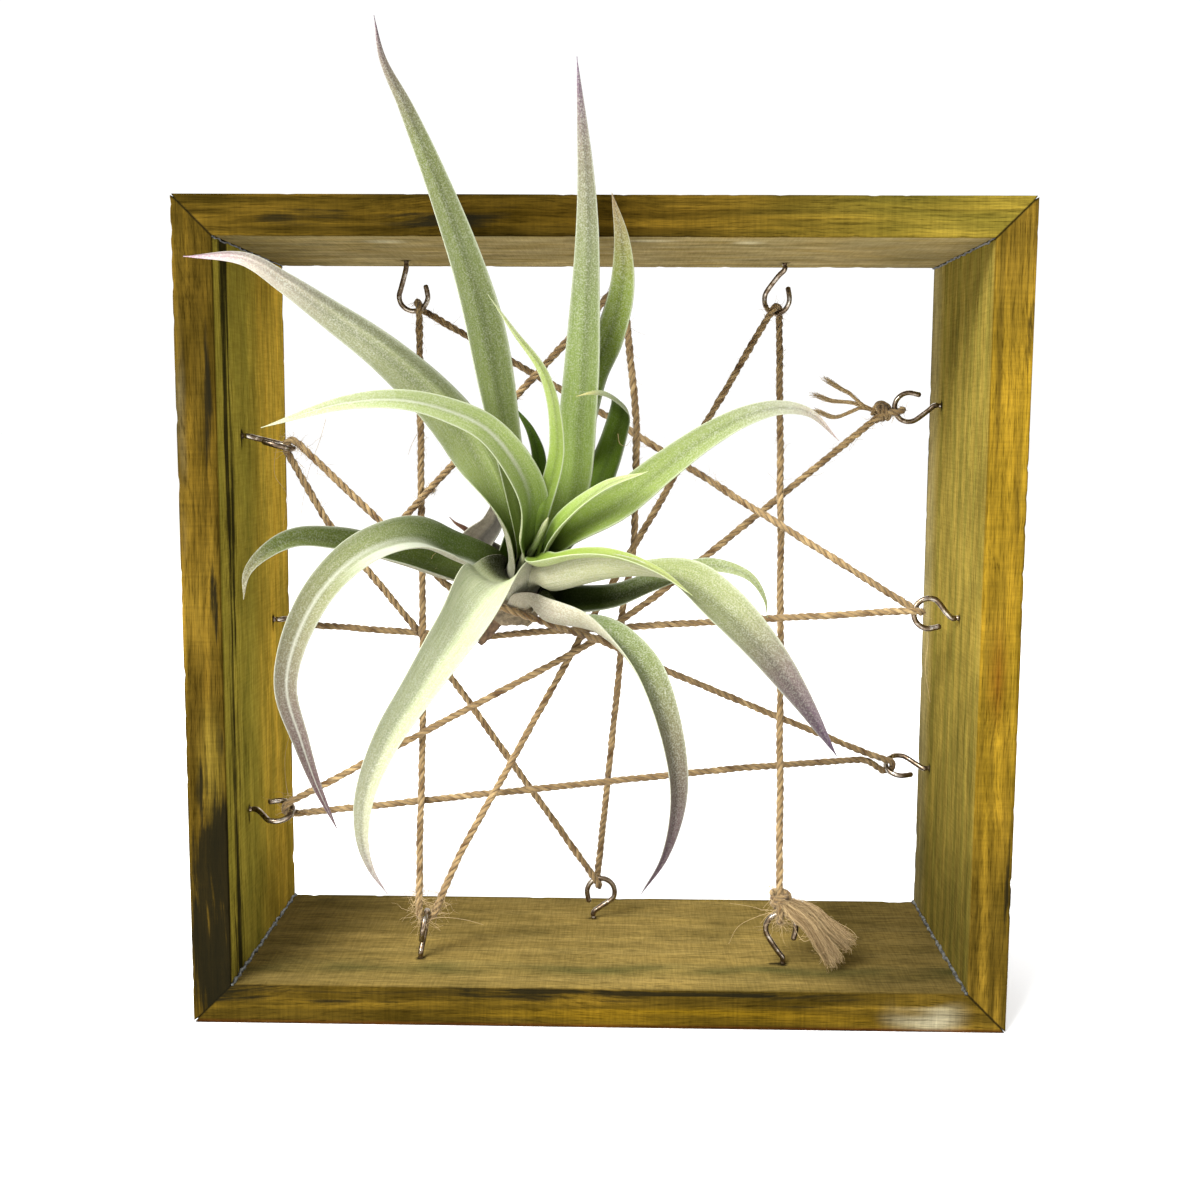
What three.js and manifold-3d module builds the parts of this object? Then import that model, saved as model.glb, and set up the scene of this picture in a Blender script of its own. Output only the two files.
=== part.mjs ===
// An air plant in a mitred wooden frame, held by one string laced between screw hooks.
// Millimetres, +Z up, front of the frame towards -Y, origin at the middle of the frame's base.
import * as THREE from "three";
import { mergeVertices } from "three/addons/utils/BufferGeometryUtils.js";
import Module from "manifold-3d";

const wasm = await Module();
wasm.setup();

// Driving dimensions of the frame
const FRAME_SIDE = 254; // outer width and height
const FRAME_DEPTH = 90;
const BOARD_THICKNESS = 12;
const JOINT_GAP = 0.3; // between parts that touch
const EASED_EDGE = 0.5; // rounding of the boards' front and back edges
const CORNER_CUT = 1.5; // how far each mitre's sharp outer tip is worn back

// Driving dimensions of the fixings
const BRAD = { radius: 0.6, length: 24, headRadius: 1.0, headHeight: 0.7, sink: 0.5, fromEdge: 18 };
const WIRE_RADIUS = 0.9; // hook wire
const SCREW_DEPTH = 8.5; // threaded end inside the wood
const STRING_RADIUS = 1.25;

// Driving dimensions of the plant
const ROSETTE_FOOT = new THREE.Vector3(-30, -2, 130); // where the stem meets the lowest leaves
const ROSETTE_AXIS = new THREE.Vector3(0.27, -0.77, 0.58).normalize();
const SHEATH_PITCH = 1.4; // from one layer of leaf bases to the next
const SHEATH_THICKNESS = 0.9;
const LEAF_THICKNESS = 1.3;
const THINNEST = 0.62;

const lengthways = new THREE.Vector3(0, 1, 0);
const skyward = new THREE.Vector3(0, 0, 1);
const halfSide = FRAME_SIDE / 2;
const halfDepth = FRAME_DEPTH / 2;
const insideFace = halfSide - BOARD_THICKNESS;

// Looks, one material for each kind of surface
const paint = (color, roughness, metalness = 0) =>
  new THREE.MeshStandardMaterial({ color, roughness, metalness });
const woodLook = paint(0x6b5a24, 0.75);
const steelLook = paint(0x6a5a4c, 0.35, 0.9);
const bradLook = paint(0x9a9a98, 0.4, 0.9);
const stringLook = paint(0xa88555, 0.95);
const stemLook = paint(0x6e5138, 0.9);
const dryLook = paint(0x9b9086, 0.9);
const greyLeafLook = paint(0xa9b592, 0.8);
const greenLeafLook = paint(0xa6c36a, 0.7);

const plant = new THREE.Group();

function addPart(name, geometry, look) {
  const mesh = new THREE.Mesh(geometry, look);
  mesh.name = name;
  plant.add(mesh);
  return mesh;
}

// Solids for cutting and joining
function toSolid(geometry) {
  const bare = geometry.clone();
  bare.deleteAttribute("normal");
  bare.deleteAttribute("uv");
  const merged = mergeVertices(bare, 1e-4);
  return new wasm.Manifold(
    new wasm.Mesh({
      numProp: 3,
      vertProperties: new Float32Array(merged.attributes.position.array),
      triVerts: new Uint32Array(merged.index.array),
    }),
  );
}

function toGeometry(solid) {
  const mesh = solid.getMesh();
  const geometry = new THREE.BufferGeometry();
  geometry.setAttribute("position", new THREE.BufferAttribute(new Float32Array(mesh.vertProperties), 3));
  geometry.setIndex(new THREE.BufferAttribute(new Uint32Array(mesh.triVerts), 1));
  geometry.computeVertexNormals();
  return geometry;
}

const join = (geometries) =>
  toGeometry(geometries.map(toSolid).reduce((whole, piece) => whole.add(piece)));

// A cylinder with its axis on the line between two points
function rod(from, to, radius, sides = 8) {
  const line = new THREE.Vector3().subVectors(to, from);
  const geometry = new THREE.CylinderGeometry(radius, radius, line.length(), sides);
  geometry.applyQuaternion(new THREE.Quaternion().setFromUnitVectors(lengthways, line.clone().normalize()));
  const middle = new THREE.Vector3().addVectors(from, to).multiplyScalar(0.5);
  return geometry.translate(middle.x, middle.y, middle.z);
}

// A curve that passes through its points, with one step of a tube at each point
class SteppedCurve extends THREE.Curve {
  constructor(points) {
    super();
    this.points = points;
  }

  getPoint(t, target = new THREE.Vector3()) {
    const last = this.points.length - 1;
    const place = Math.min(Math.max(t, 0), 1) * last;
    const index = Math.min(Math.floor(place), last - 1);
    return target.lerpVectors(this.points[index], this.points[index + 1], place - index);
  }

  getPointAt(u, target) {
    return this.getPoint(u, target);
  }

  getTangentAt(u, target = new THREE.Vector3()) {
    const last = this.points.length - 1;
    const index = Math.round(u * last);
    const before = this.points[Math.max(index - 1, 0)];
    const here = this.points[index];
    const after = this.points[Math.min(index + 1, last)];
    const arriving = new THREE.Vector3().subVectors(here, before).normalize();
    const leaving = new THREE.Vector3().subVectors(after, here).normalize();
    return target.addVectors(arriving, leaving).normalize();
  }
}

function tube(points, radius, sides = 6) {
  const section = new THREE.Shape().absarc(0, 0, radius, 0, 2 * Math.PI, false);
  return new THREE.ExtrudeGeometry(section, {
    extrudePath: new SteppedCurve(points),
    steps: points.length - 1,
    curveSegments: sides / 2,
  });
}

// The four sides of the frame: where each stands and which way its inner face looks.
// "along" is the way its length runs, "inward" points into the frame.
const frameCentre = new THREE.Vector3(0, 0, halfSide);
const SIDES = {
  top: { along: new THREE.Vector3(1, 0, 0), inward: new THREE.Vector3(0, 0, -1) },
  bottom: { along: new THREE.Vector3(1, 0, 0), inward: new THREE.Vector3(0, 0, 1) },
  left: { along: new THREE.Vector3(0, 0, 1), inward: new THREE.Vector3(1, 0, 0) },
  right: { along: new THREE.Vector3(0, 0, 1), inward: new THREE.Vector3(-1, 0, 0) },
};
const depthways = new THREE.Vector3(0, 1, 0);

// A point by its place along a side, its depth and its height above the side's outer face
const onSide = (side, along, depth, height) =>
  frameCentre
    .clone()
    .addScaledVector(side.along, along)
    .addScaledVector(depthways, depth)
    .addScaledVector(side.inward, height - halfSide);

// Brads hold the mitres: two through each upright's end into the level board
function bradLines() {
  const lines = [];
  for (const [uprightName, sideways] of [["left", -1], ["right", 1]]) {
    for (const [levelName, upDown] of [["bottom", -1], ["top", 1]]) {
      for (const [placeName, depth] of [["front", -1], ["back", 1]]) {
        const y = depth * (halfDepth - BRAD.fromEdge);
        const z = halfSide + upDown * (halfSide - BOARD_THICKNESS / 2);
        const head = new THREE.Vector3(sideways * (halfSide - BRAD.sink), y, z);
        const tip = head.clone().setX(sideways * (halfSide - BRAD.sink - BRAD.length));
        const mouth = head.clone().setX(sideways * (halfSide + 1));
        lines.push({ name: `brad_${levelName}_${uprightName}_${placeName}`, head, tip, mouth });
      }
    }
  }
  return lines;
}

function brad({ head, tip }) {
  const underHead = head.clone().lerp(tip, BRAD.headHeight / BRAD.length);
  const profile = [
    [0, 0],
    [BRAD.headRadius, 0],
    [BRAD.headRadius, BRAD.headHeight],
    [BRAD.radius, BRAD.headHeight],
    [BRAD.radius, BRAD.length - 1.2],
    [0, BRAD.length],
  ].map(([r, z]) => new THREE.Vector2(r, z));
  const geometry = new THREE.LatheGeometry(profile, 6);
  const line = new THREE.Vector3().subVectors(underHead, head).normalize();
  geometry.applyQuaternion(new THREE.Quaternion().setFromUnitVectors(lengthways, line));
  return geometry.translate(head.x, head.y, head.z);
}

// Hooks. "along" and "depth" place the screw on its side. "swing" turns the hook about its shank:
// at 0 its open side looks along the side's length, at 90 to the back, at -90 to the front.
// "offset" moves the round part towards the open side, "lean" tips it square to its own plane.
const HOOKS = {
  top_left: { side: "top", along: -68, depth: 25, swing: 0, offset: 2.4, reach: 12, lean: 0 },
  top_middle: { side: "top", along: 4, depth: -17, swing: 90, offset: 0, reach: 11.5, lean: 0 },
  top_right: { side: "top", along: 61, depth: 28.5, swing: -35, offset: -2.8, reach: 12, lean: 0 },
  left_top: { side: "left", along: 56, depth: -16, swing: -90, offset: 0, reach: 11.5, lean: 4.5 },
  left_middle: { side: "left", along: -8, depth: 20, swing: -90, offset: 0, reach: 11, lean: -1 },
  left_bottom: { side: "left", along: -65.5, depth: -18, swing: 62, offset: -0.6, reach: 9.5, lean: 0 },
  right_top: { side: "right", along: 67, depth: 25, swing: 0, offset: -0.6, reach: 11, lean: 0 },
  right_middle: { side: "right", along: -1, depth: -14, swing: 180, offset: -1.4, reach: 9.7, lean: 0 },
  right_bottom: { side: "right", along: -59.5, depth: 24, swing: 237, offset: -1.2, reach: 10.3, lean: 0 },
  bottom_left: { side: "bottom", along: -59, depth: -19, swing: -90, offset: 0, reach: 11, lean: 2.4 },
  bottom_middle: { side: "bottom", along: -3, depth: 22, swing: 180, offset: -2.6, reach: 9.9, lean: 0 },
  bottom_right: { side: "bottom", along: 60, depth: -20, swing: 0, offset: -0.8, reach: 12, lean: 0 },
};
const HOOK_BEND = 4.9; // radius of the round part, to the wire's middle

// A hook's own directions: "open" points to its open side, "flat" is square to its plane
function hookFrame(hook) {
  const side = SIDES[hook.side];
  const foot = onSide(side, hook.along, hook.depth, BOARD_THICKNESS);
  const open = side.along
    .clone()
    .multiplyScalar(Math.cos(THREE.MathUtils.degToRad(hook.swing)))
    .addScaledVector(depthways, Math.sin(THREE.MathUtils.degToRad(hook.swing)));
  const flat = new THREE.Vector3().crossVectors(side.inward, open);
  const place = (sideways, out) =>
    foot
      .clone()
      .addScaledVector(open, sideways)
      .addScaledVector(side.inward, out)
      .addScaledVector(flat, (hook.lean * Math.max(out - 1.5, 0)) / (hook.reach + HOOK_BEND));
  return { foot, open, flat, inward: side.inward, place };
}

function hookWire(hook) {
  const { place } = hookFrame(hook);
  const points = [place(0, -SCREW_DEPTH), place(0, -SCREW_DEPTH / 2), place(0, 0.2), place(0, 2.2)];
  const waist = hook.offset - HOOK_BEND * 0.72;
  points.push(place(waist * 0.35, 4.1));
  const from = 206;
  const to = -14;
  const steps = 9;
  for (let step = 0; step <= steps; step++) {
    const angle = THREE.MathUtils.degToRad(from + ((to - from) * step) / steps);
    points.push(place(hook.offset + HOOK_BEND * Math.cos(angle), hook.reach + HOOK_BEND * Math.sin(angle)));
  }
  points.push(place(hook.offset + HOOK_BEND * 0.84, hook.reach - HOOK_BEND * 0.8));
  return tube(points, WIRE_RADIUS);
}

const pilotHole = (hook) => {
  const { place } = hookFrame(hook);
  return rod(place(0, -SCREW_DEPTH - JOINT_GAP), place(0, 1), WIRE_RADIUS + JOINT_GAP);
};

// A board is a mitred outline in its own length and thickness, as deep as the frame
function board(sideName) {
  const side = SIDES[sideName];
  const gapCut = JOINT_GAP / Math.SQRT2;
  const outline = new THREE.Shape();
  outline.moveTo(-halfSide + CORNER_CUT + gapCut, 0);
  outline.lineTo(halfSide - CORNER_CUT - gapCut, 0);
  outline.lineTo(halfSide - CORNER_CUT / 2 - gapCut, CORNER_CUT / 2);
  outline.lineTo(insideFace - gapCut, BOARD_THICKNESS);
  outline.lineTo(-insideFace + gapCut, BOARD_THICKNESS);
  outline.lineTo(-halfSide + CORNER_CUT / 2 + gapCut, CORNER_CUT / 2);
  outline.closePath();
  const blank = new THREE.ExtrudeGeometry(outline, {
    depth: FRAME_DEPTH - 2 * EASED_EDGE,
    bevelEnabled: true,
    bevelThickness: EASED_EDGE,
    bevelSize: EASED_EDGE,
    bevelOffset: -EASED_EDGE,
    bevelSegments: 2,
  });
  blank.translate(0, 0, EASED_EDGE - halfDepth);
  const back = new THREE.Vector3().crossVectors(side.along, side.inward);
  blank.applyMatrix4(new THREE.Matrix4().makeBasis(side.along, side.inward, back));
  const middle = onSide(side, 0, 0, 0);
  blank.translate(middle.x, middle.y, middle.z);
  let solid = toSolid(blank);
  for (const hook of Object.values(HOOKS)) {
    if (hook.side === sideName) solid = solid.subtract(toSolid(pilotHole(hook)));
  }
  for (const { name, tip, mouth, head } of bradLines()) {
    if (!name.includes(`_${sideName}`)) continue;
    const end = tip.clone().setX(tip.x - Math.sign(tip.x) * JOINT_GAP);
    const under = head.clone().setX(head.x - Math.sign(head.x) * (BRAD.headHeight + JOINT_GAP));
    solid = solid.subtract(toSolid(rod(end, mouth, BRAD.radius + JOINT_GAP)));
    solid = solid.subtract(toSolid(rod(under, mouth, BRAD.headRadius + JOINT_GAP)));
  }
  return toGeometry(solid);
}

for (const sideName of Object.keys(SIDES)) addPart(`board_${sideName}`, board(sideName), woodLook);
for (const line of bradLines()) addPart(line.name, brad(line), bradLook);
for (const [name, hook] of Object.entries(HOOKS)) addPart(`hook_${name}`, hookWire(hook), steelLook);

// The rosette's own directions: "right" is level, "up" leans back
const rosetteRight = new THREE.Vector3().crossVectors(skyward, ROSETTE_AXIS).normalize();
if (rosetteRight.x < 0) rosetteRight.negate();
const rosetteUp = new THREE.Vector3().crossVectors(rosetteRight, ROSETTE_AXIS).normalize();
if (rosetteUp.z < 0) rosetteUp.negate();

const outwardAt = (azimuth) => {
  const angle = THREE.MathUtils.degToRad(azimuth);
  return rosetteRight.clone().multiplyScalar(Math.cos(angle)).addScaledVector(rosetteUp, Math.sin(angle));
};

const onAxis = (height) => ROSETTE_FOOT.clone().addScaledVector(ROSETTE_AXIS, height);

// The stem's head is a cone, so that each layer of leaf bases starts on its own ledge
const HEAD_RADIUS = 11.2;
const HEAD_SLOPE = 0.72; // radius lost for each millimetre of height
const footHeight = (radius) => (HEAD_RADIUS - radius + SHEATH_THICKNESS / 2) / HEAD_SLOPE + 0.7;

// Leaves, inner layers first. "layer" is the ring of leaf bases that a leaf belongs to, "turn" the
// azimuth of its base about the rosette's axis in degrees, "bends" the height where it starts to
// bend out, "wrap" half the angle that its base embraces, "wide" half the blade's width, "fold" half
// the angle of its channel, "twist" how far the blade turns on its own line, "taper" the power by
// which it narrows (a larger one stays wide for longer), and "through" the places that its middle
// passes on the way to the tip.
const LEAVES = [
  {
    name: "leaf_centre", layer: 0, turn: 60, bends: 30, wrap: 34,
    wide: 3.6, fold: 50, twist: 0, taper: 2,
    through: [[-17, -36, 164], [-13, -44, 181], [-16, -51, 201], [-25, -56, 214], [-32, -60, 224]],
  },
  {
    name: "leaf_left_arching", layer: 0, turn: 174, bends: 31, wrap: 38,
    wide: 6.6, fold: 60, twist: -45, taper: 2,
    through: [
      [-21, -39, 164], [-25, -49, 176], [-33, -56, 186], [-43, -61, 191], [-56, -66, 194],
      [-72, -68, 193], [-96, -67, 186],
    ],
  },
  {
    name: "leaf_right_inner", layer: 0, turn: 284, bends: 30, wrap: 38,
    wide: 4.4, fold: 50, twist: 0, taper: 2,
    through: [[-17, -40, 146], [-6, -48, 149], [6, -55, 149], [18, -62, 145], [27, -67, 139]],
  },
  {
    name: "leaf_right_short", layer: 1, turn: 346, bends: 27, wrap: 38,
    wide: 5.4, fold: 60, twist: 0, taper: 2,
    through: [[-12, -40, 158], [1, -50, 169], [14, -60, 174]],
  },
  {
    name: "leaf_upper_left", layer: 1, turn: 112, bends: 26, wrap: 55,
    wide: 9, fold: 45, twist: 0, taper: 2,
    through: [
      [-27, -33, 168], [-29, -41, 183], [-35, -54, 220], [-44, -61, 249], [-54, -65, 274],
      [-60, -68, 287], [-62, -69, 298],
    ],
  },
  {
    name: "leaf_right_rising", layer: 2, turn: 10, bends: 24, wrap: 46,
    wide: 7.4, fold: 50, twist: 25, taper: 2,
    through: [
      [-8, -36, 156], [7, -44, 165], [19, -50, 175], [31, -54, 184], [42, -56, 190], [52, -55, 192.5],
      [61, -53, 191], [70, -50, 183],
    ],
  },
  {
    name: "leaf_left_pink", layer: 2, turn: 142, bends: 23, wrap: 50,
    wide: 9.6, fold: 50, twist: -25, taper: 2,
    through: [
      [-31, -28, 161], [-38, -32, 177], [-48, -40, 192], [-63, -50, 207], [-79, -57, 219],
      [-90, -62, 227], [-100, -65, 233], [-118, -63, 234],
    ],
  },
  {
    name: "leaf_upper_middle", layer: 3, turn: 52, bends: 21, wrap: 42,
    wide: 7.6, fold: 40, twist: 0, taper: 2,
    through: [[-10, -28, 164], [-7, -35, 189], [-5, -43, 215], [-4, -52, 249], [-7, -57, 290]],
  },
  {
    name: "leaf_front_hanging", layer: 3, turn: 215, bends: 20, wrap: 52,
    wide: 10.5, fold: 55, twist: 0, taper: 1.4,
    through: [
      [-33, -43, 141], [-42, -60, 127], [-52, -70, 111], [-60, -75, 98], [-66, -78, 82],
      [-67, -77, 69], [-65, -74, 59], [-61, -71, 51],
    ],
  },
  {
    name: "leaf_right_purple", layer: 3, turn: 312, bends: 19, wrap: 40,
    wide: 11.5, fold: 50, twist: 20, taper: 2.4,
    through: [
      [-13, -34, 140], [6, -46, 145], [23, -54, 144], [36, -60, 135], [48, -65, 123],
      [58, -68, 110], [69, -70, 93],
    ],
  },
  {
    name: "leaf_curled", layer: 4, turn: 22, bends: 17, wrap: 36,
    wide: 7.4, fold: 40, twist: 0, taper: 2,
    through: [
      [-4, -17, 163], [0, -14, 172], [3, -14, 180], [6, -18, 191], [5, -29, 194], [1, -41, 196.5],
      [-3, -48, 196.5], [-7, -51, 195.5],
    ],
  },
  {
    name: "leaf_left_hanging", layer: 4, turn: 168, bends: 16, wrap: 45,
    wide: 7.8, fold: 60, twist: 0, taper: 2,
    through: [
      [-44, -26, 147], [-55, -36, 153], [-65, -44, 152], [-74, -51, 147], [-83, -56, 137],
      [-90, -59, 122], [-92, -60, 109], [-88, -60, 94], [-84, -58, 80], [-78, -56, 65],
    ],
  },
  {
    name: "leaf_lower_hanging", layer: 4, turn: 278, bends: 15, wrap: 42,
    wide: 7.2, fold: 55, twist: 0, taper: 2,
    through: [
      [-16, -30, 129], [0, -43, 127], [13.5, -54, 116], [21.5, -60, 95], [23.5, -60, 77], [20, -57, 59],
      [13, -54, 46],
    ],
  },
  {
    name: "leaf_back", layer: 5, turn: 108, bends: 14, wrap: 27,
    wide: 5, fold: 40, twist: 0, taper: 2,
    through: [[-23, -15, 166], [-20, -21, 175], [-22, -28, 185], [-27, -33, 193]],
  },
  {
    name: "leaf_left_low", layer: 5, turn: 165, bends: 12, wrap: 29,
    wide: 8, fold: 60, twist: 0, taper: 2,
    through: [
      [-47, -14, 140], [-64, -22, 146], [-81, -31, 151], [-94, -37, 152], [-102, -41, 148],
      [-107, -44, 142], [-108, -45, 134],
    ],
  },
  {
    name: "leaf_right_back", layer: 5, turn: 335, bends: 12, wrap: 36,
    wide: 5.5, fold: 50, twist: 0, taper: 2,
    through: [
      [-13, -22, 132], [4, -30, 134], [18, -36, 140], [33, -40, 145], [45, -42, 142],
      [50, -41, 135], [51, -40, 129],
    ],
  },
  {
    name: "leaf_upper_right", layer: 6, turn: 60, bends: 12, wrap: 30,
    wide: 5.6, fold: 40, twist: 0, taper: 2,
    through: [
      [-14, -9, 158], [-11, -12, 173], [-8, -18, 185], [-3, -30, 203], [2, -37, 213], [6, -45, 227],
      [6, -50, 240], [3, -55, 253],
    ],
  },
  {
    name: "dry_sheath", layer: 6, turn: 124, bends: 9, wrap: 15,
    wide: 3.4, fold: 60, twist: 0, taper: 2,
    through: [[-41, -8, 148], [-36, -14, 156], [-35, -18, 162], [-38, -21, 167]],
  },
  {
    name: "dry_bract", layer: 6, turn: 165, bends: 6, wrap: 10,
    wide: 1.8, fold: 50, twist: 0, taper: 2,
    through: [[-42, -4, 149], [-45, -6, 153], [-48, -7, 155], [-50, -7, 157]],
  },
];
const STEP_LENGTH = 10; // between a leaf's cross-sections
const STRIP_WIDTH = 3.6; // across a blade, at most

const smooth = (t) => {
  const clamped = Math.min(Math.max(t, 0), 1);
  return clamped * clamped * (3 - 2 * clamped);
};
const mix = THREE.MathUtils.lerp;

function leafSpine(leaf) {
  const radius = 2.2 + SHEATH_PITCH * leaf.layer;
  const outward = outwardAt(leaf.turn);
  const foot = footHeight(radius);
  const points = [0, 0.5, 1].map((part) =>
    onAxis(mix(foot, leaf.bends, part)).addScaledVector(outward, radius * (1 + 0.12 * part * part)),
  );
  for (const place of leaf.through) points.push(new THREE.Vector3(...place));
  return { radius, outward, curve: new THREE.CatmullRomCurve3(points, false, "centripetal"), foot };
}

// A blade is a row of arched cross-sections along its spine, closed at both ends
function leafBlade(leaf) {
  const { radius, outward, curve, foot } = leafSpine(leaf);
  const length = curve.getLength();
  const steps = Math.max(Math.round(length / STEP_LENGTH), 8);
  const sheathShare = (leaf.bends - foot) / length;
  const wrap = THREE.MathUtils.degToRad(leaf.wrap);
  const fold = THREE.MathUtils.degToRad(leaf.fold);
  const tangents = [];
  const facings = [];
  const fine = 8; // small turns between the cross-sections, so that the facing follows a bend
  let facing = outward.clone().negate();
  for (let step = 0; step <= steps * fine; step++) {
    const tangent = curve.getTangentAt(step / (steps * fine));
    facing.addScaledVector(tangent, -facing.dot(tangent)).normalize();
    if (step % fine === 0) {
      tangents.push(tangent);
      facings.push(facing.clone());
    }
  }
  const points = [];
  const strips = Math.max(2 * Math.ceil(leaf.wide / STRIP_WIDTH), 4);
  const around = 2 * (strips + 1);
  for (let step = 0; step <= steps; step++) {
    const u = step / steps;
    const middle = curve.getPointAt(u);
    const opening = smooth((u - sheathShare * 0.8) / 0.32);
    const taper = 1 - u ** leaf.taper;
    const halfWidth = Math.max(mix(radius * wrap, leaf.wide, opening) * taper, 0.35);
    const halfAngle = mix(wrap, fold, opening) * mix(1, 0.55, smooth((u - 0.6) / 0.4));
    const bendRadius = halfWidth / halfAngle;
    const sag = opening * 0.5 * bendRadius * (1 - Math.cos(halfAngle)); // centres the channel on its spine
    const thickness = mix(mix(SHEATH_THICKNESS, LEAF_THICKNESS, opening), THINNEST, u ** 1.5);
    const twist = THREE.MathUtils.degToRad(leaf.twist) * smooth(u);
    const turned = facings[step].clone().applyAxisAngle(tangents[step], twist);
    const across = new THREE.Vector3().crossVectors(tangents[step], turned);
    const ring = { upper: [], lower: [] };
    for (let strip = 0; strip <= strips; strip++) {
      const side = -1 + (2 * strip) / strips;
      const angle = side * halfAngle;
      const surface = middle
        .clone()
        .addScaledVector(across, bendRadius * Math.sin(angle))
        .addScaledVector(turned, bendRadius * (1 - Math.cos(angle)) - sag);
      const normal = turned.clone().multiplyScalar(Math.cos(angle)).addScaledVector(across, -Math.sin(angle));
      const half = Math.max(thickness * (1 - 0.4 * side * side), THINNEST) / 2;
      ring.upper.push(surface.clone().addScaledVector(normal, half));
      ring.lower.push(surface.clone().addScaledVector(normal, -half));
    }
    points.push(...ring.upper, ...ring.lower.reverse());
  }
  return loft(points, around);
}

// Closes a row of rings, each with the same number of points, into one solid.
// Matching quads of the two faces are split along matching lines.
function loft(points, around) {
  const rings = points.length / around;
  const half = around / 2;
  const corners = [];
  const split = (a, b, c, d, mirrored) => {
    if (mirrored) corners.push(a, b, d, b, c, d);
    else corners.push(a, b, c, a, c, d);
  };
  for (let ring = 0; ring + 1 < rings; ring++) {
    for (let index = 0; index < around; index++) {
      const next = (index + 1) % around;
      const low = ring * around;
      const high = low + around;
      split(low + index, low + next, high + next, high + index, index >= half - 1);
    }
  }
  const last = (rings - 1) * around;
  for (let index = 0; index + 1 < half; index++) {
    const over = around - 1 - index;
    corners.push(index, over, over - 1, index, over - 1, index + 1);
    corners.push(last + index, last + index + 1, last + over - 1, last + index, last + over - 1, last + over);
  }
  const geometry = new THREE.BufferGeometry();
  const places = points.flatMap((point) => [point.x, point.y, point.z]);
  geometry.setAttribute("position", new THREE.Float32BufferAttribute(places, 3));
  geometry.setIndex(corners);
  geometry.computeVertexNormals();
  return geometry;
}

for (const leaf of LEAVES) {
  const living = leaf.layer < 2 ? greenLeafLook : greyLeafLook;
  addPart(leaf.name, leafBlade(leaf), leaf.name.startsWith("dry") ? dryLook : living);
}

// The spear is the youngest leaf, still rolled up on the axis
const SPEAR = { foot: 18, radius: 1.0, through: [[-19.5, -31, 152], [-16, -38, 159]] };

function spear() {
  const points = [onAxis(SPEAR.foot), onAxis(SPEAR.foot + 8)];
  for (const place of SPEAR.through) points.push(new THREE.Vector3(...place));
  return taperedTube(new THREE.CatmullRomCurve3(points), SPEAR.radius, 0.35, 8, 6);
}

// A round solid along a curve, from one radius to another
function taperedTube(curve, firstRadius, lastRadius, steps, sides) {
  const frames = curve.computeFrenetFrames(steps, false);
  const points = [];
  for (let step = 0; step <= steps; step++) {
    const middle = curve.getPointAt(step / steps);
    const radius = mix(firstRadius, lastRadius, step / steps);
    for (let side = 0; side < sides; side++) {
      const angle = (2 * Math.PI * side) / sides;
      points.push(
        middle
          .clone()
          .addScaledVector(frames.normals[step], radius * Math.cos(angle))
          .addScaledVector(frames.binormals[step], radius * Math.sin(angle)),
      );
    }
  }
  return loft(points, sides);
}

// The stem: a cone under the leaf bases and a short woody end that points down to the left
const STEM_END = new THREE.Vector3(-41, 0, 114);
const STEM_RADIUS = 2.6;

function stem() {
  const profile = [
    [0, -2.5],
    [5, -2.2],
    [HEAD_RADIUS - 2, -1],
    [HEAD_RADIUS, 0.3],
    [HEAD_RADIUS - 15 * HEAD_SLOPE, 15],
    [0, 15.3],
  ].map(([r, height]) => new THREE.Vector2(r, height));
  const head = new THREE.LatheGeometry(profile, 16);
  head.applyQuaternion(new THREE.Quaternion().setFromUnitVectors(lengthways, ROSETTE_AXIS));
  head.translate(ROSETTE_FOOT.x, ROSETTE_FOOT.y, ROSETTE_FOOT.z);
  const bend = new THREE.Vector3(-37, 1.5, 119);
  const line = new THREE.CatmullRomCurve3([onAxis(2), onAxis(-3), bend, STEM_END]);
  return join([head, taperedTube(line, STEM_RADIUS + 1, STEM_RADIUS, 6, 8)]);
}

addPart("leaf_spear", spear(), greenLeafLook);
addPart("stem", stem(), stemLook);

// The string is one length. It is tied to the first hook, laced over the others in this order and
// tied to the last. Each row is the hook that it leaves and the places where it bends on its way.
const LACING = [
  ["right_top", [56.5, 18, 160.1], [16.9, 7, 129.1], [6.2, 4.4, 121.8], [-0.9, 4.3, 116.1],
    [-12.8, 1.5, 109.3]],
  ["left_bottom", [47.5, 12, 69.8], [92.5, 23.5, 70.7]],
  ["right_bottom", [92, 20.5, 73.5], [19.5, 8, 105.1], [-0.8, 1.2, 115.6], [-12.2, -6, 120.2],
    [-21.7, -12, 124.3], [-31.2, -15, 127.9], [-39.8, -15.5, 131.2], [-48.6, -14, 134]],
  ["left_top", [-89.5, -11, 155.9], [-62.3, 1, 118.9]],
  ["bottom_middle", [5.9, 8.5, 106], [6.5, 7.6, 124.4], [10.3, 1, 147.5], [10.9, -8, 187]],
  ["top_middle", [-62, 4, 160.8], [-86.9, 15, 135.3]],
  ["left_middle", [-41.5, 6, 115.5], [-17.6, 3.5, 118.1]],
  ["right_middle", [-1.5, 13, 191.2]],
  ["top_left", [-59.6, -2.6, 115.2], [-59.5, -5.6, 85.6], [-59.5, -11.8, 62.4]],
  ["bottom_left", [-46.8, -16, 45.6], [-36.6, -10, 63.6], [-9.4, 6.2, 112.2]],
  ["top_right", [59.6, 12.5, 163]],
  ["bottom_right"],
];
const KNOTS = { right_top: [94.9, 25, 191.4], bottom_right: [58.5, -19.8, 34] };
const KNOT_SIZE = { wide: 3.8, thick: 3 };
const WRAP_RADIUS = WIRE_RADIUS + 1.7 * JOINT_GAP + STRING_RADIUS;
const toPoint = (place) => new THREE.Vector3(...place);

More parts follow.
